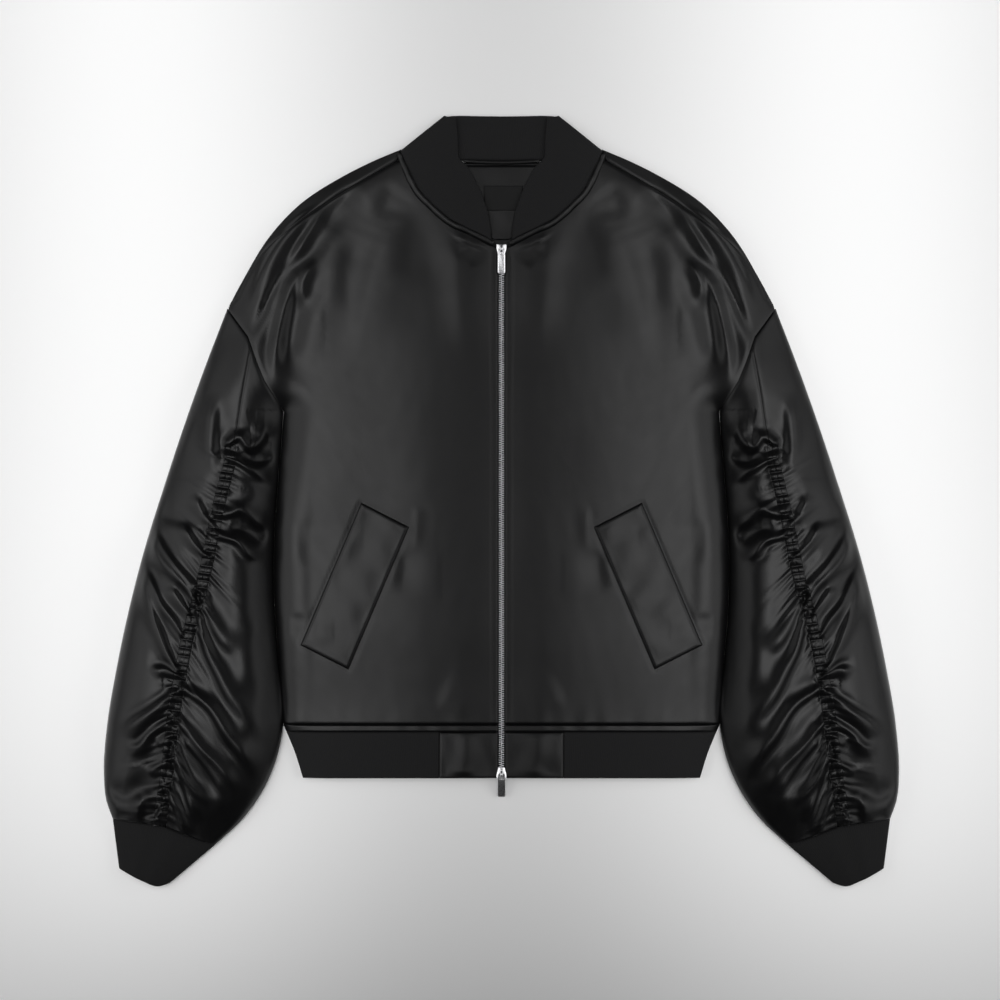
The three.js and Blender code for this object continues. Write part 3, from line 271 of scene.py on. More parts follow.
def foldRise(fold, x, y, gathered):
    line = smoothLine(fold["along"], 14)
    reach = 4 * fold["half"]
    low, high = line.min(axis=0) - reach, line.max(axis=0) + reach
    near = (x > low[0]) & (x < high[0]) & (y > low[1]) & (y < high[1])
    rise = np.zeros(np.shape(x))
    if not near.any():
        return rise
    distance, share, side = nearest(line, x[near], y[near])
    half = fold["half"] * (mix(0.6, 1.25, share) if gathered else 1)
    d = distance / half * (1 + 0.35 * side)
    ridge = np.exp(-(d**2)) - 0.2 * np.exp(-(((d - 2) / 1.1) ** 2))
    start = 1 if gathered else smooth(share / 0.3)
    rise[near] = fold["rise"] * ridge * start * smooth((1 - share) / (0.3 if gathered else 0.4))
    return rise * foldHeight["gathered" if gathered else "draped"]


def clothHeight(x, y, side):
    x, y = np.broadcast_arrays(np.abs(np.asarray(x, float)), np.asarray(y, float))
    height, edge = restHeight(x, y)
    folds = np.zeros(x.shape)
    for fold in gatheredFolds:
        folds += foldRise(fold, x, y, True)
    for fold in drapedFolds:
        folds += foldRise(fold, x, y, False)
    seed = unevenness["left" if side > 0 else "right"]
    onSleeve = smooth((x - lay["sleeveFrom"]) / lay["sleeveBlend"])
    folds += ripple(x, y * 0.6, seed, 70, 160, 1) * mix(0.35, 1.1, onSleeve) * smooth((x - 4) / 30)
    folds += ripple(x, y * 0.6, seed + 1, 16, 40, 0.16) * mix(0.2, 1, onSleeve) * smooth((x - 4) / 30)
    height = height + folds * smooth(edge / 12)
    for seam in seams:
        away = nearest(seam["line"], x, y)[0]
        height = height - seam["deep"] * np.exp(-((away / 1.7) ** 2))
    puckers = ripple(x, y * 0.2, seed + 2, 14, 60, 0.22)
    return height + puckers * np.exp(-(((y - lay["hemTop"]) / 14) ** 2)) * smooth(edge / 12)


def gatherWave(along, across, side):
    # pleats of the ruched seam: which one, and how full it is, leaning a little across the band
    phase = along / gathers["pitch"] + 0.2 * np.sin(along / 23) + 0.13 * across
    dice = np.random.RandomState(31 + side)
    tall = dice.uniform(0.5, 1.15, 90)
    k = np.floor(phase).astype(int) % 90
    return k, tall[k], np.abs(np.sin(math.pi * phase))


def gatherRise(along, away, way, side):
    # small folds that run out of the pleats, each with its own length
    dice = np.random.RandomState(21 + way + side)
    far = dice.choice([4, 5, 7, 10, 18], 90)
    k, tall, wave = gatherWave(along, way, side)
    wave = wave ** np.clip(0.7 + away / 8, 0.7, 2.2)
    return gathers["rise"] * tall * wave * np.exp(-((away / far[k]) ** 1.3))


def bandShare(y):
    return np.clip((gathers["from"] - y) / (gathers["from"] - gathers["full"]), 0, 1)


# Meshes of cloth
def meshFromGrid(name, grid, flip=False, closed=False, capped=False, ribs=None):
    # closed joins the last column to the first, capped fills the two end rings,
    # ribs follow the grid's columns or its rows
    rows, columns = grid.shape[:2]
    wrap = columns if closed else columns - 1
    i, j = np.meshgrid(np.arange(rows - 1), np.arange(wrap), indexing="ij")
    corners = [(i, j), (i + 1, j), (i + 1, j + 1), (i, j + 1)]
    if flip:
        corners.reverse()
    index = np.stack([a * columns + b % columns for a, b in corners], axis=-1).reshape(-1, 4).tolist()
    if capped:
        ends = [list(range(columns)), list(range((rows - 1) * columns, rows * columns))[::-1]]
        index += [end[::-1] if flip else end for end in ends]
    mesh = bpy.data.meshes.new(name)
    mesh.from_pydata((grid.reshape(-1, 3) * mm).tolist(), [], index)
    # the map's unit is 100 mm, measured along the cloth
    spread = np.concatenate([grid, grid[:, :1]], axis=1) if closed else grid
    u = np.cumsum(np.linalg.norm(np.diff(spread, axis=1, prepend=spread[:, :1]), axis=2), axis=1)
    v = np.cumsum(np.linalg.norm(np.diff(spread, axis=0, prepend=spread[:1]), axis=2), axis=0)
    v = np.concatenate([v, v[:, :1]], axis=1) if closed else v
    if ribs == "columns":
        u = np.broadcast_to(u.mean(axis=0), u.shape)
    if ribs == "rows":
        u, v = np.broadcast_to(v.mean(axis=1)[:, None], v.shape), u
    uv = np.stack([np.stack([u[a, b], v[a, b]], axis=-1) for a, b in corners], axis=2).reshape(-1)
    if capped:
        rims = grid[[0, -1]] if not flip else grid[[0, -1], ::-1]
        uv = np.concatenate([uv, rims[0][:, :2].reshape(-1), rims[1][::-1, :2].reshape(-1)])
    mesh.uv_layers.new(name="UVMap").data.foreach_set("uv", uv * 0.01)
    mesh.polygons.foreach_set("use_smooth", np.ones(len(mesh.polygons), bool))
    mesh.validate()
    piece = bpy.data.objects.new(name, mesh)
    bpy.context.scene.collection.objects.link(piece)
    return piece


def dress(piece, material, nodes, onBody=body):
    piece.data.materials.clear()
    piece.data.materials.append(material)
    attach(piece, onBody)
    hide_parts(*nodes)


def giveWall(piece, wall):
    solidify = piece.modifiers.new("wall", "SOLIDIFY")
    solidify.thickness = wall * mm
    solidify.offset = -1


def sideName(base, side):
    return base + ("Left" if side > 0 else "Right")


def nodeName(base, side):
    return base + ("_left" if side > 0 else "_right")


def toSide(grid, side):
    return grid * np.array([side, 1, 1])


# Effects that several materials share
def newGroup(name, inputs, outputs):
    group = bpy.data.node_groups.new(name, "ShaderNodeTree")
    for label, kind, value in inputs:
        socket = group.interface.new_socket(name=label, in_out="INPUT", socket_type=kind)
        if value is not None:
            socket.default_value = value
    for label, kind in outputs:
        group.interface.new_socket(name=label, in_out="OUTPUT", socket_type=kind)
    return group, group.nodes.new("NodeGroupInput"), group.nodes.new("NodeGroupOutput")


def addMath(tree, operation, first, second):
    node = tree.nodes.new("ShaderNodeMath")
    node.operation = operation
    for place, value in enumerate((first, second)):
        if hasattr(value, "links"):
            tree.links.new(value, node.inputs[place])
        else:
            node.inputs[place].default_value = value
    return node.outputs[0]


def addNoise(tree, vector, scale, detail, stretch=(1, 1, 1)):
    mapping = tree.nodes.new("ShaderNodeMapping")
    mapping.inputs["Scale"].default_value = stretch
    noise = tree.nodes.new("ShaderNodeTexNoise")
    noise.inputs["Scale"].default_value = scale
    noise.inputs["Detail"].default_value = detail
    tree.links.new(vector, mapping.inputs["Vector"])
    tree.links.new(mapping.outputs[0], noise.inputs["Vector"])
    return noise.outputs["Fac"]


def makeSatinWeave():
    group, start, end = newGroup(
        "satinWeave",
        [("Vector", "NodeSocketVector", None), ("Crumple", "NodeSocketFloat", 0.5)],
        [("Height", "NodeSocketFloat"), ("ShadeAndTone", "NodeSocketFloat")],
    )
    threads = addNoise(group, start.outputs["Vector"], 60, 2, (9, 1, 1))
    crossing = addNoise(group, start.outputs["Vector"], 90, 1, (1, 5, 1))
    crumple = addNoise(group, start.outputs["Vector"], 7, 3)
    lengthways = addMath(group, "MULTIPLY", threads, 0.10)
    crossways = addMath(group, "MULTIPLY", crossing, 0.05)
    weave = addMath(group, "ADD", lengthways, crossways)
    soft = addMath(group, "MULTIPLY", crumple, start.outputs["Crumple"])
    group.links.new(addMath(group, "ADD", weave, soft), end.inputs["Height"])
    # painted light and shade: the colour is lighter where the threads and soft crumples stand up
    crumpleShade = addMath(group, "MULTIPLY", crumple, 0.6)
    group.links.new(addMath(group, "ADD", threads, crumpleShade), end.inputs["ShadeAndTone"])
    return group


def makeRibKnit():
    group, start, end = newGroup(
        "ribKnit",
        [("Vector", "NodeSocketVector", None), ("Ribs", "NodeSocketFloat", 15.7)],
        [("Height", "NodeSocketFloat"), ("ShadeAndTone", "NodeSocketFloat")],
    )
    wave = group.nodes.new("ShaderNodeTexWave")
    wave.bands_direction = "X"
    wave.inputs["Distortion"].default_value = 0.4
    wave.inputs["Detail"].default_value = 1
    wave.inputs["Detail Scale"].default_value = 3
    group.links.new(start.outputs["Vector"], wave.inputs["Vector"])
    group.links.new(start.outputs["Ribs"], wave.inputs["Scale"])
    loops = addNoise(group, start.outputs["Vector"], 110, 2, (1, 1.6, 1))
    height = addMath(group, "ADD", wave.outputs["Fac"], addMath(group, "MULTIPLY", loops, 0.5))
    group.links.new(height, end.inputs["Height"])
    # painted shade in the grooves between ribs, from the same bands as the height, plus random loop tone
    bandShadeAndTone = addMath(group, "ADD", addMath(group, "MULTIPLY", wave.outputs["Fac"], 0.5), loops)
    group.links.new(bandShadeAndTone, end.inputs["ShadeAndTone"])
    return group


satinWeave = makeSatinWeave()
ribKnit = makeRibKnit()


def newMaterial(name):
    material = bpy.data.materials.new(name)
    material.use_nodes = True
    tree = material.node_tree
    return material, tree, tree.nodes["Principled BSDF"]


def clothFinish(name, weave, settings):
    # a woven or knitted surface: its pattern follows the piece's own map
    material, tree, shader = newMaterial(name)
    coordinates = tree.nodes.new("ShaderNodeTexCoord")
    pattern = tree.nodes.new("ShaderNodeGroup")
    pattern.node_tree = weave
    tree.links.new(coordinates.outputs["UV"], pattern.inputs["Vector"])
    for label, value in settings["pattern"].items():
        pattern.inputs[label].default_value = value
    # painted shade: the base colour runs from dark to light with the relief, with some random tone
    ramp = tree.nodes.new("ShaderNodeValToRGB")
    ramp.color_ramp.elements[0].position, ramp.color_ramp.elements[1].position = settings["toneRange"]
    ramp.color_ramp.elements[0].color = (*settings["dark"], 1)
    ramp.color_ramp.elements[1].color = (*settings["light"], 1)
    tree.links.new(pattern.outputs["ShadeAndTone"], ramp.inputs["Fac"])
    tree.links.new(ramp.outputs["Color"], shader.inputs["Base Color"])
    polish = tree.nodes.new("ShaderNodeMapRange")
    polish.inputs["From Min"].default_value, polish.inputs["From Max"].default_value = settings["toneRange"]
    polish.inputs["To Min"].default_value, polish.inputs["To Max"].default_value = settings["roughness"]
    tree.links.new(pattern.outputs["ShadeAndTone"], polish.inputs["Value"])
    tree.links.new(polish.outputs["Result"], shader.inputs["Roughness"])
    bump = tree.nodes.new("ShaderNodeBump")
    bump.inputs["Strength"].default_value = settings["bump"]
    bump.inputs["Distance"].default_value = settings["depth"] * mm
    tree.links.new(pattern.outputs["Height"], bump.inputs["Height"])
    tree.links.new(bump.outputs["Normal"], shader.inputs["Normal"])
    shader.inputs["Specular IOR Level"].default_value = settings["specular"]
    shader.inputs["Sheen Weight"].default_value = settings["sheen"]
    shader.inputs["Sheen Roughness"].default_value = 0.4
    return material


satinFinish = {
    "pattern": {"Crumple": 0.5},
    "toneRange": (0.5, 1.1),
    "dark": (0.0016, 0.0016, 0.0018),
    "light": (0.0028, 0.0028, 0.0031),
    "roughness": (0.32, 0.4),
    "bump": 0.35,
    "depth": 0.5,
    "specular": 0.25,
    "sheen": 0.01,
}
ribFinish = {
    "pattern": {"Ribs": 17},
    "toneRange": (0.3, 1.1),
    "dark": (0.009, 0.009, 0.0095),
    "light": (0.014, 0.014, 0.0145),
    "roughness": (0.85, 0.95),
    "bump": 0.35,
    "depth": 0.4,
    "specular": 0.2,
    "sheen": 0.04,
}
# painted shade: the cuffs are the same knit as the hem rib, in a darker copy that dims the raised cuffs
cuffShadedFinish = dict(ribFinish, dark=(0.0058, 0.0058, 0.0062), light=(0.0095, 0.0095, 0.0098), sheen=0.02)
tapeFinish = {
    "pattern": {"Ribs": 26},
    "toneRange": (0.3, 1.1),
    "dark": (0.006, 0.006, 0.0065),
    "light": (0.012, 0.012, 0.012),
    "roughness": (0.8, 0.9),
    "bump": 0.4,
    "depth": 0.2,
    "specular": 0.25,
    "sheen": 0.0,
}
satin = clothFinish("blackSatin", satinWeave, satinFinish)
rib = clothFinish("blackRib", ribKnit, ribFinish)
cuffRibPaintedShade = clothFinish("cuffRibPaintedShade", ribKnit, cuffShadedFinish)
tapeCloth = clothFinish("zipTape", ribKnit, tapeFinish)


def makeMetal():
    settings = {"color": (0.72, 0.72, 0.74), "roughness": (0.2, 0.38), "scale": 900}
    material, tree, shader = newMaterial("brightMetal")
    coordinates = tree.nodes.new("ShaderNodeTexCoord")
    wear = addNoise(tree, coordinates.outputs["Object"], settings["scale"], 3)
    polish = tree.nodes.new("ShaderNodeMapRange")
    polish.inputs["To Min"].default_value, polish.inputs["To Max"].default_value = settings["roughness"]
    tree.links.new(wear, polish.inputs["Value"])
    tree.links.new(polish.outputs["Result"], shader.inputs["Roughness"])
    shader.inputs["Base Color"].default_value = (*settings["color"], 1)
    shader.inputs["Metallic"].default_value = 1
    bump = tree.nodes.new("ShaderNodeBump")
    bump.inputs["Strength"].default_value = 0.1
    bump.inputs["Distance"].default_value = 0.05 * mm
    tree.links.new(wear, bump.inputs["Height"])
    tree.links.new(bump.outputs["Normal"], shader.inputs["Normal"])
    return material


metal = makeMetal()
print("materials made")


# Ruched band of each sleeve: pleats that run on into the panels at both sides of it
ruche = {"from": 58, "to": -331, "lobe": 3.1, "pinch": 0.25, "cut": (0.0165, 0.56)}

# Sleeve panels: rows follow the folds, from the gathered seam to the edge and under
sleeve = {
    "step": 2.2,
    "across": 46,
    "outerRows": [
        (158.9, 196), (128, 165), (96, 132), (62, 98), (38, 64), (4, 32), (-30, 9), (-62, -8),
        (-84, -20), (-106, -38), (-132, -61), (-160, -100), (-178, -160), (-200, -225),
        (-234, -262), (-268, -284), (-306, -309), (-331, -324.8),
    ],
    "innerRows": [
        (158.3, 90.3), (125, 82), (90, 71), (62, 57), (38, 18), (10, -14), (-16, -36), (-40, -72),
        (-66, -116), (-86, -170), (-118, -240), (-158, -277), (-193, -296), (-223, -314),
        (-253, -330), (-298, -344), (-331, -351.6),
    ],
    "outerCut": (0.24, 0.62, 0.1),
    "innerCut": (0.16, 0.56, 0.055),
}


def seamLength(y):
    # length of the centre seam, from the top of the ruched band down to y
    levels = np.linspace(160, -332, 500)
    steps = np.hypot(np.diff(xAt(sleeveSeam, levels)), np.diff(levels))
    run = np.concatenate([[0], np.cumsum(steps)])
    return np.interp(-np.asarray(y), -levels, run - np.interp(-ruche["from"], -levels, run))


def sleevePanel(side, outer):
    pairs = np.array(sleeve["outerRows" if outer else "innerRows"], float)
    way = 1 if outer else -1
    edgeLine = sleeveOuterEdge if outer else sleeveInnerEdge
    gaps = np.abs(np.diff(pairs, axis=0)).max(axis=1)
    counts = np.ceil(gaps / sleeve["step"]).astype(int)
    stations = np.concatenate([k + np.arange(n) / n for k, n in enumerate(counts)] + [[len(pairs) - 1]])
    seamY = np.interp(stations, np.arange(len(pairs)), pairs[:, 0])
    edgeY = np.interp(stations, np.arange(len(pairs)), pairs[:, 1])
    offset = 0.1 + (gathers["bandHalf"] - 0.6) * bandShare(seamY)
    start = np.column_stack([xAt(sleeveSeam, seamY) + way * offset, seamY])
    stop = np.column_stack([xAt(edgeLine, edgeY), edgeY])
    underY = mix(lay["armholeUnder"], -350, (edgeY - pairs[0, 1]) / (pairs[-1, 1] - pairs[0, 1]))
    under = np.column_stack([xAt(underSeam, underY) + way * 0.15, underY])
    atArm = np.clip(1 - (pairs[0, 0] - seamY) / 90, 0, 1)[:, None] ** 2
    atCuff = np.clip(1 - (seamY - pairs[-1, 0]) / 60, 0, 1)[:, None] ** 2

    def between(a, b, share, armY, cuffX):
        # on the way from a to b, bowed like the armhole or the cuff seam near them
        share = np.broadcast_to(share, len(a))[:, None]
        y = mix(armY[0], armY[1], share)
        x = mix(cuffX[0], cuffX[1], share)
        onArm = np.hstack([xAt(armhole, y) + 0.25, y]) - mix(a[0], b[0], share)
        onCuff = np.hstack([x, np.interp(x, cuffSeam[:, 0], cuffSeam[:, 1]) + 0.15])
        onCuff = onCuff - mix(a[-1], b[-1], share)
        return mix(a, b, share) + onArm * atArm + onCuff * atCuff

    shares = np.linspace(0, 1, sleeve["across"])
    shares = mix(shares, shares**1.7, 0.55)
    flat = np.stack([between(start, stop, t, pairs[0], (start[-1, 0], stop[-1, 0])) for t in shares], axis=1)
    away = np.linalg.norm(flat - start[:, None], axis=2)
    gathered = gatherRise(seamLength(seamY)[:, None], away, way, side)
    gathered = gathered - gathers["valley"] * np.exp(-((away / 11) ** 2))
    z = clothHeight(flat[..., 0], flat[..., 1], side) + gathered * bandShare(seamY)[:, None]
    z[:, -1] = lay["edgeHeight"]
    columns = [np.dstack([flat, z])]
    length = np.linalg.norm(stop - under, axis=1)
    armY, cuffX = (pairs[0, 1], lay["armholeUnder"]), (stop[-1, 0], under[-1, 0])
    for inset in lay["turn"]:
        p = between(stop, under, inset / length, armY, cuffX)
        columns.append(np.column_stack([p, np.full(len(p), turnHeight(inset))])[:, None])
    for share in np.linspace(0.1, 1, 12):
        p = between(stop, under, mix(lay["turn"][-1] / length, 1, share), armY, cuffX)
        columns.append(np.column_stack([p, np.zeros(len(p))])[:, None])
    return toSide(np.concatenate(columns, axis=1), side)


def makeSleeve(side):
    for outer in (True, False):
        base = "sleeveOuter" if outer else "sleeveInner"
        grid = sleevePanel(side, outer)
        piece = meshFromGrid(sideName(base, side), grid, flip=(side > 0) != outer)
        giveWall(piece, lay["satinWall"])
        dress(piece, satin, [nodeName("sleeve_outer" if outer else "sleeve_inner", side)])


for side in (1, -1):
    makeSleeve(side)
print("sleeves laid")


def makeRuche(side):
    y = np.linspace(ruche["from"], ruche["to"], 640)
    middle = np.column_stack([xAt(sleeveSeam, y), y])
    along = seamLength(y)
    half = 0.2 + gathers["bandHalf"] * bandShare(y)
    underneath = clothHeight(middle[:, 0], y, side)
    base = underneath - gathers["valley"] * bandShare(y)
    columns = []
    for share in np.linspace(-1, 1, 19):
        _, tall, wave = gatherWave(along, share, side)
        full = mix(ruche["lobe"], gathers["rise"], abs(share) ** 2) * tall * wave**0.6
        pinch = 1 - ruche["pinch"] * math.exp(-((share / 0.17) ** 2))
        z = base + full * pinch * bandShare(y) - 0.35 * smooth((abs(share) - 0.7) / 0.3)
        x = middle[:, 0] + share * half
        z = z + clothHeight(x, y, side) - underneath
        columns.append(np.column_stack([x, y, z]))
    piece = meshFromGrid(sideName("ruche", side), toSide(np.stack(columns, axis=1), side), flip=side < 0)
    giveWall(piece, 0.8)
    dress(piece, satin, [nodeName("ruche", side)])


for side in (1, -1):
    makeRuche(side)
print("ruched bands made")

# Fronts
front = {"rowStep": 2.8, "columns": 92, "zipEdge": 3.6, "stitchLine": 9, "cut": (0.30, 0.60, 0.13)}
neckInside = beside(neckline, 2.9)
neckOutside = beside(neckline, -3.0)


def frontLimit(y):
    limit = xAt(shoulderSeam, y) - 0.25
    limit = np.where(y < 206, np.interp(y, [196, 200.5, 206], [279.75, 277, 270.8]), limit)
    limit = np.where(y <= lay["armholeTop"], xAt(armhole, y) - 0.25, limit)
    return np.where(y < lay["armholeFoot"], xAt(sideEdge, y), limit)


def makeFront(side):
    y = np.linspace(347.5, lay["hemTop"], int(576 / front["rowStep"]))[:, None]
    first = np.where(y > neckOutside[-1, 1], xAt(neckOutside, y), front["zipEdge"])
    last = frontLimit(y)
    rolled = smooth((lay["armholeFoot"] + 3 - y) / 3)
    x = mix(first, last, np.linspace(0, 1, front["columns"]))
    z = clothHeight(x, y, side) - 0.35 * np.exp(-(((x - front["stitchLine"]) / 0.8) ** 2)) * (y < 262)
    for inset, low in ((0, 0.42), (0.1, 0.72), (0.8, 1)):
        x = np.hstack([x, np.where(rolled > 0.5, last - inset, last)])
        z = np.hstack([z, mix(z[:, front["columns"] - 1 :][:, :1], 2.0, low * rolled)])
    grid = toSide(np.stack([x, np.broadcast_to(y, x.shape), z], axis=-1), side)
    piece = meshFromGrid(sideName("front", side), grid, flip=side < 0)
    giveWall(piece, lay["satinWall"])
    dress(piece, satin, [nodeName("front", side)])


for side in (1, -1):
    makeFront(side)
print("fronts laid")

# Back: one sheet that rolls over the shoulder to the seam on the front
back = {
    "rowStep": 3.4,
    "rollStep": 2.6,
    "rollFrom": 347.5,
    "rollTo": 206,
    "rollInset": 14,
    "neck": 347.3,
    "half": 44,
    "cut": (0.60, 0.66, 0.285),
}


def makeBack():
    count = int((back["rollFrom"] - back["rollTo"]) / back["rollStep"])
    share = np.linspace(0, 1, count)
    topY = mix(back["rollFrom"], back["rollTo"], share)
    top = np.column_stack([xAt(shoulderSeam, topY) + 0.2, topY])
    edge = pointAt(shoulderEdge, share * 0.985)
    along = np.gradient(edge, axis=0)
    along /= np.linalg.norm(along, axis=1)[:, None]
    inward = mix(np.column_stack([along[:, 1], -along[:, 0]]), np.array([-0.6, -0.8]), share[:, None] ** 6)
    inward /= np.linalg.norm(inward, axis=1)[:, None]
    inset = edge + inward * back["rollInset"]
    lowY = np.linspace(inset[-1, 1] - 3, lay["hemTop"], int((200 - lay["hemTop"]) / back["rowStep"]))
    limit = xAt(armhole, lowY) - 0.4
    limit = np.where(lowY < lay["armholeFoot"], xAt(sideEdge, lowY) - 0.2, limit)
    flatEnd = np.vstack([inset, np.column_stack([limit, lowY])])
    middleY = np.minimum(flatEnd[:, 1], back["neck"])
    half = []
    for across in np.linspace(0, 1, back["half"]):
        y = mix(middleY, flatEnd[:, 1], across**3)
        half.append(np.column_stack([flatEnd[:, 0] * across, y, np.zeros(len(y))]))
    left = np.stack(half, axis=1)
    whole = np.concatenate([toSide(left, -1)[:, :0:-1], left], axis=1)
    lift = ripple(whole[..., 0], whole[..., 1], 77, 40, 120, 0.9)
    border = smooth((np.abs(flatEnd[:, None, 0]) - np.abs(whole[..., 0])) / 40)
    whole[..., 2] = np.clip(lift, 0, None) * border
    sides = []
    for side in (1, -1):
        strip = []
        for inset in (back["rollInset"], 10.5, 7.5, 5.2) + lay["turn"][::-1]:
            strip.append(np.column_stack([edge + inward * inset, np.full(count, turnHeight(inset))])[:, None])
        p = mix(edge[:, None], top[:, None], (np.linspace(0, 1, 22) ** 1.6)[:, None])
        strip.append(np.dstack([p, clothHeight(p[..., 0], p[..., 1], side)]))
        sides.append(toSide(np.concatenate(strip, axis=1), side))
    return whole, sides[0], sides[1]


def joinPieces(parts, name):
    bpy.ops.object.select_all(action="DESELECT")
    for part in parts:
        part.select_set(True)
    bpy.context.view_layer.objects.active = parts[0]
    bpy.ops.object.join()
    parts[0].name = name
    return parts[0]


def joinStrips(name, whole, left, right):
    # one mesh of the flat sheet and both rolled shoulders, sharing their borders
    parts = [meshFromGrid(name, whole, flip=True)]
    parts.append(meshFromGrid(name + "RollLeft", left, flip=True))
    parts.append(meshFromGrid(name + "RollRight", right, flip=False))
    piece = joinPieces(parts, name)
    bpy.ops.object.mode_set(mode="EDIT")
    bpy.ops.mesh.select_all(action="SELECT")
    bpy.ops.mesh.remove_doubles(threshold=0.05 * mm)
    bpy.ops.object.mode_set(mode="OBJECT")
    bpy.ops.object.select_all(action="DESELECT")
    return piece


backPiece = joinStrips("back", *makeBack())
giveWall(backPiece, lay["satinWall"])
dress(backPiece, satin, ["back_panel"])
print("back laid")

# Pocket welts, on the fronts
welt = {
    "corners": weltCorners,
    "lift": 2.1,
    "rim": 1.6,
    "cut": (0.06, 0.17, 0.0093),
}


def makeWelt(side):
    upperOuter, upperInner, lowerInner, lowerOuter = (np.array(c, float) for c in welt["corners"])
    long = np.concatenate([[0, 0.004, 0.012], np.linspace(0.022, 0.978, 70), [0.988, 0.996, 1]])
    wide = np.concatenate([[0, 0.012, 0.035], np.linspace(0.07, 0.93, 24), [0.965, 0.988, 1]])
    a, b = np.meshgrid(long, wide, indexing="ij")
    a, b = a[..., None], b[..., None]
    p = mix(mix(upperInner, lowerInner, a), mix(upperOuter, lowerOuter, a), b)
    x, y = p[..., 0], p[..., 1]
    edge = np.minimum(np.minimum(a, 1 - a)[..., 0] * 158, np.minimum(b, 1 - b)[..., 0] * 54)
    rounded = np.sqrt(1 - (1 - np.clip(edge / welt["rim"], 0, 1)) ** 2)
    dimples = ripple(x, y, 90 + side, 26, 60, 0.3) * smooth(edge / 10)
    stitch = 0.3 * np.exp(-(((edge - 5) / 0.7) ** 2))
    z = clothHeight(x, y, side) + 0.2 + welt["lift"] * rounded + dimples - stitch
    grid = toSide(np.stack([x, y, z], axis=-1), side)
    piece = meshFromGrid(sideName("welt", side), grid, flip=side < 0)
    giveWall(piece, 1.0)
    dress(piece, satin, [nodeName("pocket_welt", side)])


for side in (1, -1):
    makeWelt(side)
print("pocket welts laid")

# Hem: rib band, satin tabs at its front ends, and a satin piping above it
hem = {"tabWidth": 63.5, "piping": (-229, -236), "rib": -236.4, "tabCut": (0.0605, 0.0495)}


def hemBand(frontX, fromY, toY, lift, steps):
    levels = np.linspace(fromY, toY, steps)
    sideX = np.where(levels > -229, xAt(sideEdge, levels), xAt(hemSideEdge, levels))
    away = np.minimum(levels[0] - levels, levels - levels[-1])
    crown = lift - 0.9 * (1 - np.clip(away / 1.4, 0, 1)) ** 2
    share = np.concatenate([np.linspace(0, 0.9, 90), np.linspace(0.91, 1, 18)])[:, None]
    x = mix(frontX, sideX, share)
    y = np.broadcast_to(levels, x.shape)
    half = [np.dstack([x, y, clothHeight(x, y, 1) + crown * smooth((1 - share) / 0.06)])]
    for inset in lay["turn"]:
        half.append(np.column_stack([sideX - inset, levels, np.full(steps, turnHeight(inset))])[None])
    for share in np.linspace(0.08, 0.98, 36):
        half.append(np.column_stack([mix(sideX - lay["turn"][-1], 0, share), levels, np.zeros(steps)])[None])
    half = np.concatenate(half)
    return np.concatenate([half, toSide(half, -1)[::-1]], axis=0)


def makeHem():
    ribGrid = hemBand(hem["tabWidth"] + 0.3, hem["rib"], lay["hemEnd"], 0.2, 22)
    ribPiece = meshFromGrid("hemRib", ribGrid.transpose(1, 0, 2), ribs="columns")
    giveWall(ribPiece, lay["ribWall"])
    dress(ribPiece, rib, ["hem_rib"])
    pipingGrid = hemBand(front["zipEdge"], *hem["piping"], 0.9, 10)
    piping = meshFromGrid("hemPiping", pipingGrid.transpose(1, 0, 2))
    giveWall(piping, lay["satinWall"])
    dress(piping, satin, ["hem_piping"])
    for side in (1, -1):
        across = np.concatenate([[3.6, 4.0, 4.8], np.linspace(6, 62, 40), [62.8, 63.3, 63.5]])
        down = [[-236.4, -236.7, -237.4], np.linspace(-239, -281.4, 30), [-282.6, -283.3, -283.6]]
        x, y = np.meshgrid(across, np.concatenate(down))
        edge = np.minimum(np.minimum(x - 3.6, 63.5 - x), np.minimum(-236.4 - y, y + 283.6))
        rounded = np.sqrt(1 - (1 - np.clip(edge / 1.6, 0, 1)) ** 2)
        crease = 1.1 * np.exp(-(((x - 37) / 11) ** 2))
        dent = (ripple(x, y, 120 + side, 24, 60, 0.35) + crease) * smooth(edge / 8)
        z = clothHeight(x, y, side) - 0.9 + 1.4 * rounded + dent
        grid = toSide(np.stack([x, y, z], axis=-1), side)
        tab = meshFromGrid(sideName("hemTab", side), grid, flip=side < 0)
        giveWall(tab, 2)
        dress(tab, satin, [nodeName("hem_tab", side)])


makeHem()
print("hem made")

# Rib cuffs, each a flattened tube
cuff = {"crown": (14, 11.5), "low": 4.5, "rings": 22, "cut": (0.2, 0.06, 0.0096)}


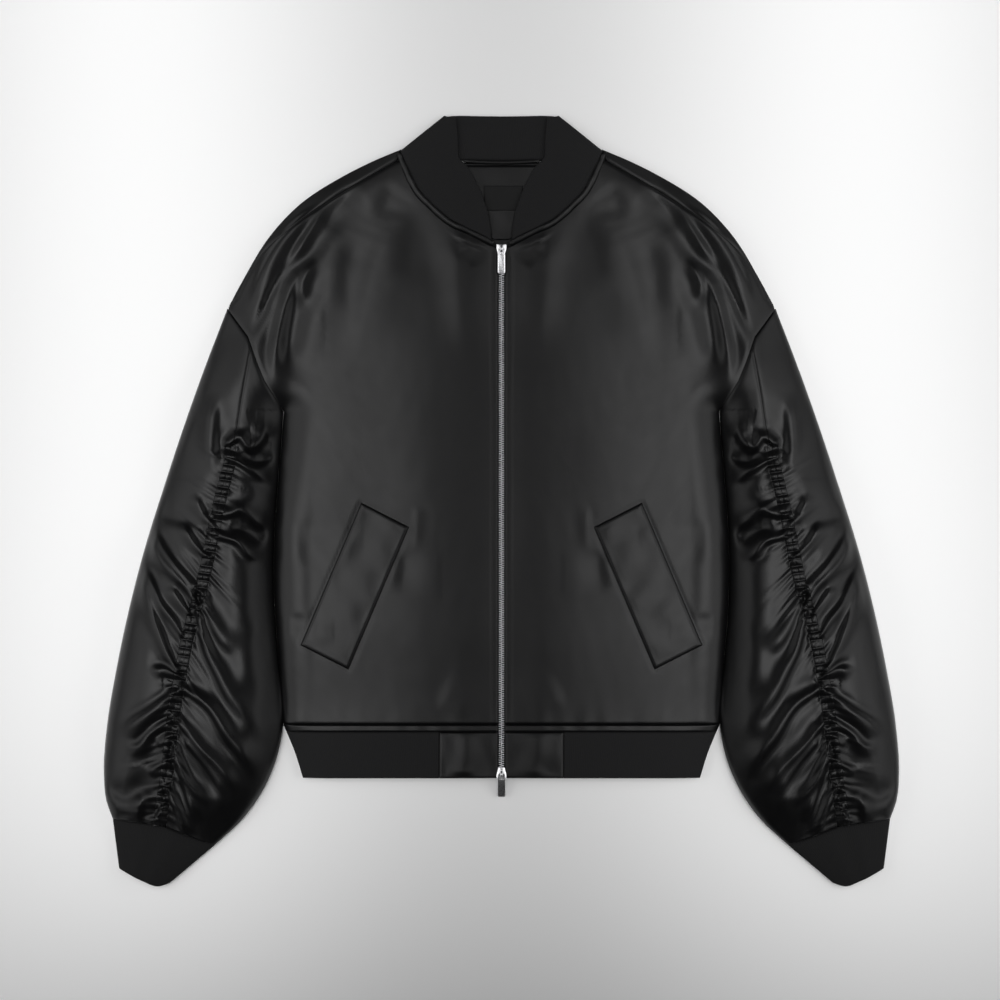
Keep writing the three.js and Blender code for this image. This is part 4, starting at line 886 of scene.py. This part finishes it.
def makeCuff(side):
    upper = np.concatenate([np.linspace(0, 0.06, 6), np.linspace(0.09, 0.91, 34), np.linspace(0.94, 1, 6)])
    rows = []
    for along in np.linspace(0, 1, cuff["rings"]):
        x = mix(cuffSeam[0, 0], cuffSeam[-1, 0], upper)
        seamPoint = np.column_stack([x, np.interp(x, cuffSeam[:, 0], cuffSeam[:, 1]) - 0.15])
        p = mix(seamPoint, pointAt(cuffEnd, upper), along)
        crown = mix(*cuff["crown"], along)
        swell = 0.5 * math.sin(math.pi * along) + 0.4 * np.sin(upper * 19 + 1)
        z = mix(cuff["low"], crown + swell * np.sin(math.pi * upper), np.sin(math.pi * upper) ** 0.55)
        width = np.linalg.norm(p[-1] - p[0])
        top = np.column_stack([p, z])
        lower = []
        for inset in (0.4, 1.2, 2.4, 4.5):
            lift = cuff["low"] * (1 - math.sqrt(1 - (1 - inset / 4.5) ** 2))
            lower.append((inset / width, lift))
        shares = [1 - s for s, _ in lower] + list(np.linspace(0.88, 0.12, 14))
        shares += [s for s, _ in reversed(lower)]
        lifts = [z for _, z in lower] + [0] * 14 + [z for _, z in reversed(lower)]
        q = np.column_stack([np.interp(shares, upper, p[:, 0]), np.interp(shares, upper, p[:, 1])])
        rows.append(np.vstack([top, np.column_stack([q, lifts])]))
    grid = toSide(np.stack(rows, axis=0), side)
    piece = meshFromGrid(sideName("cuff", side), grid, flip=side < 0, closed=True, ribs="columns")
    giveWall(piece, lay["ribWall"])
    # the cuffs wear the darker rib copy, painted shade
    dress(piece, cuffRibPaintedShade, [nodeName("cuff", side)])
    width, length, area = cuff["cut"]


for side in (1, -1):
    makeCuff(side)
print("cuffs made")

# Collar: the back half lies flat with its inside up, the front halves fold over it
collar = {
    "back": [
        (0, 347.8, 0, 392), (30, 347.8, 24, 392.3), (60, 348, 42, 392.8), (85, 349, 52, 392.6),
    ],
    "fold": (103.8, 357.6, 59, 393.5),
    "front": [
        (0.02, 47.5, 391, 4.2), (0.16, 45.5, 372, 4.2), (0.3, 45, 350, 4.6), (0.44, 33, 338, 5.2),
        (0.58, 22, 315, 6), (0.72, 14.5, 293, 7), (0.86, 12.5, 279, 8), (0.97, 11, 270.5, 8.6),
    ],
    "cut": (0.47, 0.047, 0.0205),
}


def collarStations():
    wall = lay["ribWall"]
    stations = []
    for sewnX, sewnY, freeX, freeY in collar["back"]:
        stations.append(((sewnX, sewnY, wall / 2), (freeX, freeY, wall / 2), (0, 0, -1)))
    top = pointAt(neckInside, 0)
    sewnTop = float(clothHeight(top[0], top[1], 1)) - wall / 2
    freeTop = collar["front"][0][3]
    sewnX, sewnY, freeX, freeY = collar["fold"]
    run = np.array([sewnX - freeX, sewnY - freeY, 0.0])
    run /= np.linalg.norm(run)
    away = np.array([-run[1], run[0], 0])
    for degrees in (-60, -30, 0, 30, 60):
        angle = math.radians(degrees)
        pair = []
        for corner, high in (((sewnX, sewnY), sewnTop), ((freeX, freeY), freeTop)):
            radius = (high - wall / 2) / 2
            middle = np.array([*corner, 0]) - away * (radius + wall / 2)
            middle[2] = (high + wall / 2) / 2
            pair.append(middle + away * radius * math.cos(angle) + np.array([0, 0, radius * math.sin(angle)]))
        stations.append((pair[0], pair[1], away * math.cos(angle) + np.array([0, 0, math.sin(angle)])))
    for share, freeX, freeY, freeZ in collar["front"]:
        p = pointAt(neckInside, share)
        z = float(clothHeight(p[0], p[1], 1)) - wall / 2
        stations.append(((p[0], p[1], z), (freeX, freeY, freeZ), (0, 0, 1)))
    return np.array([np.concatenate(s) for s in stations])


def makeCollar():
    wall = lay["ribWall"]
    half = collarStations()
    key = np.concatenate([[0], np.cumsum(np.linalg.norm(np.diff(half[:, :6], axis=0), axis=1) + 0.5)])
    fine = np.linspace(0, key[-1], 110)
    fine = np.unique(np.concatenate([fine, key]))
    dense = np.column_stack([np.interp(fine, key, half[:, k]) for k in range(9)])
    for _ in range(3):
        dense[1:-1] = (dense[:-2] + 2 * dense[1:-1] + dense[2:]) / 4
    mirror = dense[:0:-1] * np.array([-1, 1, 1, -1, 1, 1, -1, 1, 1])
    stations = np.vstack([mirror, dense])
    rows = []
    for station in stations:
        sewn, free, out = station[:3], station[3:6], station[6:9] / np.linalg.norm(station[6:9])
        across = (free - sewn) / np.linalg.norm(free - sewn)
        swell = 0.5 * max(out[2], 0)
        steps = np.linspace(0, 1, 14)
        upper = [mix(sewn, free, s) + out * (wall / 2 + swell * math.sin(math.pi * s)) for s in steps]
        nose = []
        for degrees in (60, 30, 0, -30, -60):
            angle = math.radians(degrees)
            nose.append(free + across * wall / 2 * math.cos(angle) + out * wall / 2 * math.sin(angle))
        lower = [mix(free, sewn, s) - out * wall / 2 for s in steps]
        rows.append(np.array(upper + nose + lower))
    grid = np.stack(rows, axis=0)
    piece = meshFromGrid("ribCollar", grid, flip=True, closed=True, capped=True, ribs="rows")
    dress(piece, rib, ["collar"])


makeCollar()
print("collar folded")

# Neck: satin piping, facing, blank patch and hanger loop
neck = {
    "pipingRadius": 2.9,
    "pipingTop": [(104.2, 355), (101.8, 348)],
    "facingTop": 346.5,
    "facingHeight": 3.2,
    "patch": (-18, 22, 296.5, 322),
    "loop": (39, 347.4, 1.6),
}


def makePiping(side):
    count = 90
    share = np.linspace(0, 1, count)
    middle = pointAt(smoothLine(neck["pipingTop"] + neckline[::6].tolist(), 60), share)
    along = np.gradient(middle, axis=0)
    along /= np.linalg.norm(along, axis=1)[:, None]
    across = np.column_stack([along[:, 1], -along[:, 0]])
    z = clothHeight(middle[:, 0], middle[:, 1], side)
    wave = 1 + 0.06 * np.sin(share * 37) + 0.04 * np.sin(share * 61 + 1)
    columns = []
    for angle in np.linspace(0, 2 * math.pi, 16, endpoint=False):
        # a flattened roll that leans to the front
        p = middle + across * (neck["pipingRadius"] * math.cos(angle) * wave)[:, None]
        lift = 0.5 * math.sin(angle) + 0.12 * math.cos(angle)
        columns.append(np.column_stack([p, z - 0.1 + neck["pipingRadius"] * lift * wave]))
    grid = toSide(np.stack(columns, axis=1), side)
    piece = meshFromGrid(sideName("neckPiping", side), grid, flip=side < 0, closed=True, capped=True)
    dress(piece, satin, [nodeName("neck_piping", side)])


def makeFacing():
    line = beside(neckline, 5.4)
    rows = []
    for share in np.linspace(0, 1, 40):
        p = pointAt(line, share)
        x = np.linspace(-p[0], p[0], 44)
        y = np.full(len(x), min(p[1], neck["facingTop"]))
        z = neck["facingHeight"] + np.clip(ripple(x, y, 61, 30, 90, 0.35), -0.4, 0.5)
        rows.append(np.column_stack([x, y, z]))
    piece = meshFromGrid("neckFacing", np.stack(rows, axis=0))
    giveWall(piece, 0.8)
    dress(piece, satin, ["neck_facing"])


def makePatch():
    x0, x1, y0, y1 = neck["patch"]
    x, y = np.meshgrid(np.linspace(x0, x1, 30), np.linspace(y1, y0, 22))
    edge = np.minimum(np.minimum(x - x0, x1 - x), np.minimum(y - y0, y1 - y))
    z = 4.0 + 0.5 * np.sqrt(1 - (1 - np.clip(edge / 1.5, 0, 1)) ** 2)
    piece = meshFromGrid("labelPatch", np.stack([x, y, z], axis=-1))
    giveWall(piece, 0.5)
    dress(piece, tapeCloth, ["label_patch"])


def makeLoop():
    half, y0, sag = neck["loop"]
    x = np.linspace(-half, half, 60)
    y = y0 - sag * np.cos(math.pi * x / half / 2)
    columns = []
    for angle in np.linspace(0, 2 * math.pi, 12, endpoint=False):
        bulge = 1 - 0.5 * np.abs(x / half) ** 12
        z = 4.6 + 0.9 * math.sin(angle) * bulge
        columns.append(np.column_stack([x, y + 1.9 * math.cos(angle) * bulge, z]))
    piece = meshFromGrid("hangerLoop", np.stack(columns, axis=1), flip=True, closed=True, capped=True)
    dress(piece, satin, ["hanger_loop"])


for side in (1, -1):
    makePiping(side)
makeFacing()
makePatch()
makeLoop()
print("neck finished")

# Zip: tapes, teeth and two sliders
zipper = {
    "pitch": 2.3,
    "top": 257.5,
    "bottom": -280.5,
    "tooth": (3.3, 1.15, 2.3),
    "toothBevel": 0.28,
    "tape": (0.6, 14.3, 259, -282),
    "tapeDrop": 2.9,
}


def zipTop(y):
    return clothHeight(0.0, y, 1)


def makeTape(side):
    inner, outer, top, bottom = zipper["tape"]
    y = np.linspace(top, bottom, 120)
    z = np.minimum(zipTop(y), clothHeight(11.0, y, 1)) - zipper["tapeDrop"]
    columns = [np.column_stack([np.full(len(y), x), y, z]) for x in np.linspace(inner, outer, 10)]
    piece = meshFromGrid(sideName("zipTape", side), toSide(np.stack(columns, axis=1), side), flip=side < 0)
    giveWall(piece, 0.6)
    dress(piece, tapeCloth, [nodeName("zip_tape", side)])


def startPiece(name, centre, size):
    bpy.ops.object.select_all(action="DESELECT")
    bpy.ops.mesh.primitive_cube_add(size=1, location=[c * mm for c in centre])
    piece = bpy.context.object
    piece.name = name
    piece.scale = [c * mm for c in size]
    bpy.ops.object.transform_apply(location=True, rotation=True, scale=True)
    bpy.ops.object.mode_set(mode="EDIT")
    return piece


def makeTooth():
    tooth = startPiece("zipTooth", (0, 0, 0), zipper["tooth"])
    bpy.ops.mesh.select_all(action="SELECT")
    bpy.ops.mesh.bevel(offset=zipper["toothBevel"] * mm, segments=1)
    bpy.ops.object.mode_set(mode="OBJECT")
    points = np.array([v.co[:] for v in tooth.data.vertices]) / mm
    faces = [list(p.vertices) for p in tooth.data.polygons]
    bpy.data.objects.remove(tooth)
    return points, faces


def makeTeeth():
    points, faces = makeTooth()
    allPoints, allFaces = [], []
    count = int((zipper["top"] - zipper["bottom"]) / zipper["pitch"] * 2)
    for k in range(count):
        y = zipper["top"] - (k + 0.5) * zipper["pitch"] / 2
        way = 1 if k % 2 else -1
        place = np.array([way * 1.25, y, float(zipTop(y)) - 1.2])
        allFaces += [[v + len(points) * k for v in face] for face in faces]
        allPoints.append(points * np.array([way, 1, 1]) + place)
    mesh = bpy.data.meshes.new("zipTeeth")
    mesh.from_pydata((np.vstack(allPoints) * mm).tolist(), [], allFaces)
    piece = bpy.data.objects.new("zipTeeth", mesh)
    bpy.context.scene.collection.objects.link(piece)
    bpy.context.view_layer.objects.active = piece
    piece.select_set(True)
    bpy.ops.object.mode_set(mode="EDIT")
    bpy.ops.mesh.select_all(action="SELECT")
    bpy.ops.mesh.normals_make_consistent(inside=False)
    bpy.ops.object.mode_set(mode="OBJECT")
    piece.select_set(False)
    dress(piece, metal, ["zip_chain"])


for side in (1, -1):
    makeTape(side)
makeTeeth()
print("teeth set")

# Sliders and their pull tabs, modelled about the pull's axis
slider = {
    "ends": [
        {"name": "Top", "node": "top", "joint": 0, "up": 1, "tilt": 2},
        {"name": "Bottom", "node": "bottom", "joint": 1, "up": -1, "tilt": 21},
    ],
    "plate": (10.2, 12.5, 1.2),
    "plateMiddle": -0.9,
    "plateTop": -1.95,
    "gap": 6.0,
    "cuts": (-4.6, 0.4),
    "waist": 0.72,
    "notch": 1.3,
    "corner": 1.2,
    "edge": 0.25,
    "post": ((0, 3.4, -4.95), (2.2, 2.6, 5.0)),
    "arch": (3.0, 0.6),
}
pull = {"size": (7.6, 26, 1.4), "corner": 1.9, "window": (-0.7, -5.6, 2.0), "neck": 0.9}


def pick(piece, test, kind="FACE"):
    # selects the faces, edges or corners that pass the test, which gets their corners in mm
    bpy.ops.mesh.select_all(action="DESELECT")
    bpy.ops.mesh.select_mode(type=kind)
    bpy.ops.object.mode_set(mode="OBJECT")
    mesh = piece.data
    items = {"FACE": mesh.polygons, "EDGE": mesh.edges, "VERT": mesh.vertices}[kind]
    for item in items:
        corners = [item.co] if kind == "VERT" else [mesh.vertices[k].co for k in item.vertices]
        item.select = bool(test(np.array([c[:] for c in corners]) / mm))
    bpy.ops.object.mode_set(mode="EDIT")


def sliceAt(place, direction):
    bpy.ops.mesh.select_all(action="SELECT")
    bpy.ops.mesh.bisect(plane_co=[c * mm for c in place], plane_no=direction)


def setAtAxis(piece, end):
    # carries the finished piece to its slider, and its place into the mesh
    joint = frame["record"]["behaviour"]["joints"][end["joint"]]
    piece.location = joint["pos_m"]
    bpy.ops.object.select_all(action="DESELECT")
    piece.select_set(True)
    bpy.context.view_layer.objects.active = piece
    bpy.ops.object.transform_apply(location=True, rotation=True, scale=True)
    bpy.ops.object.shade_smooth_by_angle(angle=math.radians(35))
    piece.select_set(False)


def makeSlider(end):
    plates = []
    for level in (slider["plateTop"], slider["plateTop"] - slider["gap"]):
        plate = startPiece("sliderPlate", (0, slider["plateMiddle"], level), slider["plate"])
        for y in slider["cuts"]:
            sliceAt((0, y, 0), (0, 1, 0))
        sliceAt((0, 0, 0), (1, 0, 0))
        pick(plate, lambda c: c[0, 1] < -4, "VERT")
        bpy.ops.transform.resize(value=(slider["waist"], 1, 1), center_override=(0, 0, 0))
        pick(plate, lambda c: c[0, 1] > 5 and abs(c[0, 0]) < 1, "VERT")
        bpy.ops.transform.translate(value=(0, -slider["notch"] * mm, 0))
        pick(plate, lambda c: abs(np.ptp(c[:, 2])) > 1 and abs(c[:, 0]).min() > 1, "EDGE")
        bpy.ops.mesh.bevel(offset=slider["corner"] * mm, segments=4)
        bpy.ops.mesh.select_all(action="SELECT")
        bpy.ops.mesh.dissolve_limited(angle_limit=math.radians(2))
        pick(plate, lambda c: np.ptp(c[:, 2]) < 0.01 and np.ptp(c[:, :2]) > 0, "EDGE")
        bpy.ops.mesh.bevel(offset=slider["edge"] * mm, segments=2)
        bpy.ops.object.mode_set(mode="OBJECT")
        plates.append(plate)
    post = startPiece("sliderPost", *slider["post"])
    bpy.ops.mesh.bevel(offset=0.3 * mm, segments=1)
    bpy.ops.object.mode_set(mode="OBJECT")
    major, minor = slider["arch"]
    bpy.ops.object.select_all(action="DESELECT")
    bpy.ops.mesh.primitive_torus_add(
        major_radius=major * mm, minor_radius=minor * mm, major_segments=36, minor_segments=12,
        location=(0, 0, -1.2 * mm), rotation=(0, math.pi / 2, 0),
    )
    arch = bpy.context.object
    bpy.ops.object.transform_apply(location=False, rotation=True, scale=True)
    arch.scale = (2, 1, 1.04)
    bpy.ops.object.transform_apply(location=True, rotation=True, scale=True)
    bpy.ops.object.mode_set(mode="EDIT")
    bpy.ops.mesh.select_all(action="SELECT")
    bpy.ops.mesh.bisect(plane_co=(0, 0, -1.5 * mm), plane_no=(0, 0, 1), use_fill=True, clear_inner=True)
    bpy.ops.object.mode_set(mode="OBJECT")
    piece = joinPieces(plates + [post, arch], "slider" + end["name"])
    bpy.ops.object.mode_set(mode="EDIT")
    bpy.ops.mesh.select_all(action="SELECT")
    bpy.ops.mesh.normals_make_consistent(inside=False)
    if end["up"] < 0:
        bpy.ops.transform.rotate(value=math.pi, orient_axis="Z", center_override=(0, 0, 0))
    bpy.ops.object.mode_set(mode="OBJECT")
    setAtAxis(piece, end)
    dress(piece, metal, ["slider_" + end["node"]])


def makePull(end):
    length = pull["size"][1]
    piece = startPiece("pull" + end["name"], (0, 0.7 - length / 2, 0), pull["size"])
    pick(piece, lambda c: np.ptp(c[:, 2]) > 1 and c[:, 1].max() < -5, "EDGE")
    bpy.ops.mesh.bevel(offset=pull["corner"] * mm, segments=6)
    upper, lower, half = pull["window"]

    def inWindow(c):
        withinHeight = lower - 0.01 < c[:, 1].min() and c[:, 1].max() < upper + 0.01
        return abs(c[:, 0]).max() < half + 0.01 and withinHeight

    for y in (upper, lower, -6.6):
        sliceAt((0, y, 0), (0, 1, 0))
    for x in (-half, half):
        sliceAt((x, 0, 0), (1, 0, 0))
    pick(piece, lambda c: c[0, 1] > -6.4 and abs(c[0, 0]) > half + 0.2, "VERT")
    bpy.ops.transform.resize(value=(pull["neck"], 1, 1), center_override=(0, 0, 0))
    pick(piece, lambda c: len(c) == 4 and np.ptp(c[:, 2]) < 0.01 and inWindow(c))
    bpy.ops.mesh.bridge_edge_loops()
    bpy.ops.mesh.select_all(action="SELECT")
    bpy.ops.mesh.dissolve_limited(angle_limit=math.radians(1))
    bpy.ops.mesh.normals_make_consistent(inside=False)
    bpy.ops.object.mode_set(mode="OBJECT")
    rounding = piece.modifiers.new("rounding", "BEVEL")
    rounding.width = 0.3 * mm
    rounding.segments = 2
    rounding.limit_method = "ANGLE"
    bpy.ops.object.modifier_apply(modifier=rounding.name)
    piece.rotation_euler = (math.radians(end["tilt"]), 0, 0)
    setAtAxis(piece, end)
    dress(piece, metal, ["pull_tab_" + end["node"]], "pull_" + end["node"])


for end in slider["ends"]:
    makeSlider(end)
    makePull(end)
print("zip made")

# Stitching: one short thread, copied along each sewn line
stitch = {"length": 2.3, "radius": 0.3, "pitch": 3.1}


def makeThread():
    bpy.ops.object.select_all(action="DESELECT")
    bpy.ops.mesh.primitive_uv_sphere_add(segments=6, ring_count=5, radius=1, rotation=(math.pi / 2, 0, 0))
    thread = bpy.context.object
    bpy.ops.object.transform_apply(location=False, rotation=True, scale=True)
    points = np.array([v.co[:] for v in thread.data.vertices])
    points = points * np.array([stitch["radius"], stitch["length"] / 2, stitch["radius"]])
    faces = [list(p.vertices) for p in thread.data.polygons]
    bpy.data.objects.remove(thread)
    return points, faces


threadPoints, threadFaces = makeThread()


def sewLine(name, lines, side):
    # lines are rows of places and the height of the sewn face above the cloth under it
    allPoints, allFaces = [], []
    for line, lift in lines:
        line = np.array(line, float)
        runs = np.concatenate([[0], np.cumsum(np.hypot(*np.diff(line, axis=0).T))])
        spots = np.arange(stitch["pitch"], runs[-1] - stitch["pitch"] / 2, stitch["pitch"])
        ends = [np.column_stack([np.interp(spots + d, runs, line[:, k]) for k in (0, 1)]) for d in (-1, 1)]
        ends = [np.column_stack([e, clothHeight(e[:, 0], e[:, 1], side) + lift]) for e in ends]
        for a, b in zip(*ends):
            along = (b - a) / np.linalg.norm(b - a)
            across = np.cross(along, (0, 0, 1))
            across /= np.linalg.norm(across)
            turn = np.stack([across, along, np.cross(across, along)])
            allFaces += [[v + len(threadPoints) * len(allPoints) for v in face] for face in threadFaces]
            allPoints.append(threadPoints @ turn + (a + b) / 2)
    points = np.vstack(allPoints) * np.array([side, 1, 1])
    if side < 0:
        allFaces = [face[::-1] for face in allFaces]
    mesh = bpy.data.meshes.new(sideName(name, side))
    mesh.from_pydata((points * mm).tolist(), [], allFaces)
    piece = bpy.data.objects.new(mesh.name, mesh)
    bpy.context.scene.collection.objects.link(piece)
    dress(piece, satin, [])


def insideWelt(inset):
    corners = np.array(welt["corners"] + welt["corners"][:1], float)
    middle = corners[:4].mean(axis=0)
    long = (corners[3] - corners[0]) / np.linalg.norm(corners[3] - corners[0])
    wide = (corners[1] - corners[0]) / np.linalg.norm(corners[1] - corners[0])
    moved = []
    for c in corners:
        outward = np.sign((c - middle) @ long) * long + np.sign((c - middle) @ wide) * wide
        moved.append(c - inset * outward)
    return np.array(moved)


for side in (1, -1):
    lift = 0.2 + welt["lift"] + 0.05
    sewLine("weltStitch", [(insideWelt(3.4), lift)], side)
    sewLine("zipStitch", [([(9, 252), (9, -224)], 0.0)], side)
    sewLine("hemStitch", [([(12, -225.6), (214, -225.6)], 0.05)], side)
print("stitches sewn")


# Floor, light and camera
studio = {
    "photoCentre": (-1.5, 0.5),
    "photoWidth": 1020,
    "lens": 100,
    "lamps": [
        {
            "name": "overhead", "inner": (0.13, 0.7), "outer": (0.55, 0.7),
            "length": 1.6, "shift": 0.36, "glow": 0.72, "spread": 65,
        },
        {
            "name": "lowSide", "inner": (0.55, 0.65), "outer": (1.2, 0.05),
            "length": 1.8, "shift": 0.2, "glow": 0.62, "spread": 100,
        },
    ],
    "world": 0.03,
}


def addLamp(place, side):
    # a long softbox over one half, given by the ends of its width
    innerX, innerZ = place["inner"]
    outerX, outerZ = place["outer"]
    lamp = bpy.data.lights.new(sideName(place["name"], side), "AREA")
    lamp.shape = "RECTANGLE"
    lamp.size = math.hypot(outerX - innerX, outerZ - innerZ)
    lamp.size_y = place["length"]
    lamp.energy = place["glow"] * math.pi * lamp.size * lamp.size_y
    lamp.spread = math.radians(place["spread"])
    holder = bpy.data.objects.new(lamp.name, lamp)
    holder.location = (side * (innerX + outerX) / 2, place["shift"], (innerZ + outerZ) / 2)
    holder.rotation_euler = (0, side * math.atan2(innerZ - outerZ, outerX - innerX), 0)
    holder.visible_camera = False
    bpy.context.scene.collection.objects.link(holder)


def makeStudio():
    bpy.ops.object.select_all(action="DESELECT")
    bpy.ops.mesh.primitive_plane_add(size=8, location=(0, 0, -0.0005))
    floor = bpy.context.object
    floor.name = "floor"
    paper, _, shader = newMaterial("whitePaper")
    shader.inputs["Base Color"].default_value = (0.93, 0.93, 0.93, 1)
    shader.inputs["Roughness"].default_value = 0.9
    shader.inputs["Specular IOR Level"].default_value = 0.1
    floor.data.materials.append(paper)
    for place in studio["lamps"]:
        for side in (1, -1):
            addLamp(place, side)
    world = bpy.data.worlds.new("studio")
    world.use_nodes = True
    world.node_tree.nodes["Background"].inputs["Color"].default_value = (1, 1, 1, 1)
    world.node_tree.nodes["Background"].inputs["Strength"].default_value = studio["world"]
    bpy.context.scene.world = world
    camera = bpy.data.cameras.new("camera")
    camera.lens = studio["lens"]
    camera.sensor_width = 36
    distance = studio["photoWidth"] / 2 * mm / (18 / studio["lens"])
    holder = bpy.data.objects.new("camera", camera)
    holder.location = (studio["photoCentre"][0] * mm, studio["photoCentre"][1] * mm, distance + 0.012)
    bpy.context.scene.collection.objects.link(holder)
    bpy.context.scene.camera = holder
    bpy.context.scene.view_settings.view_transform = "Standard"
    bpy.context.scene.view_settings.look = "None"


makeStudio()
print("studio set")
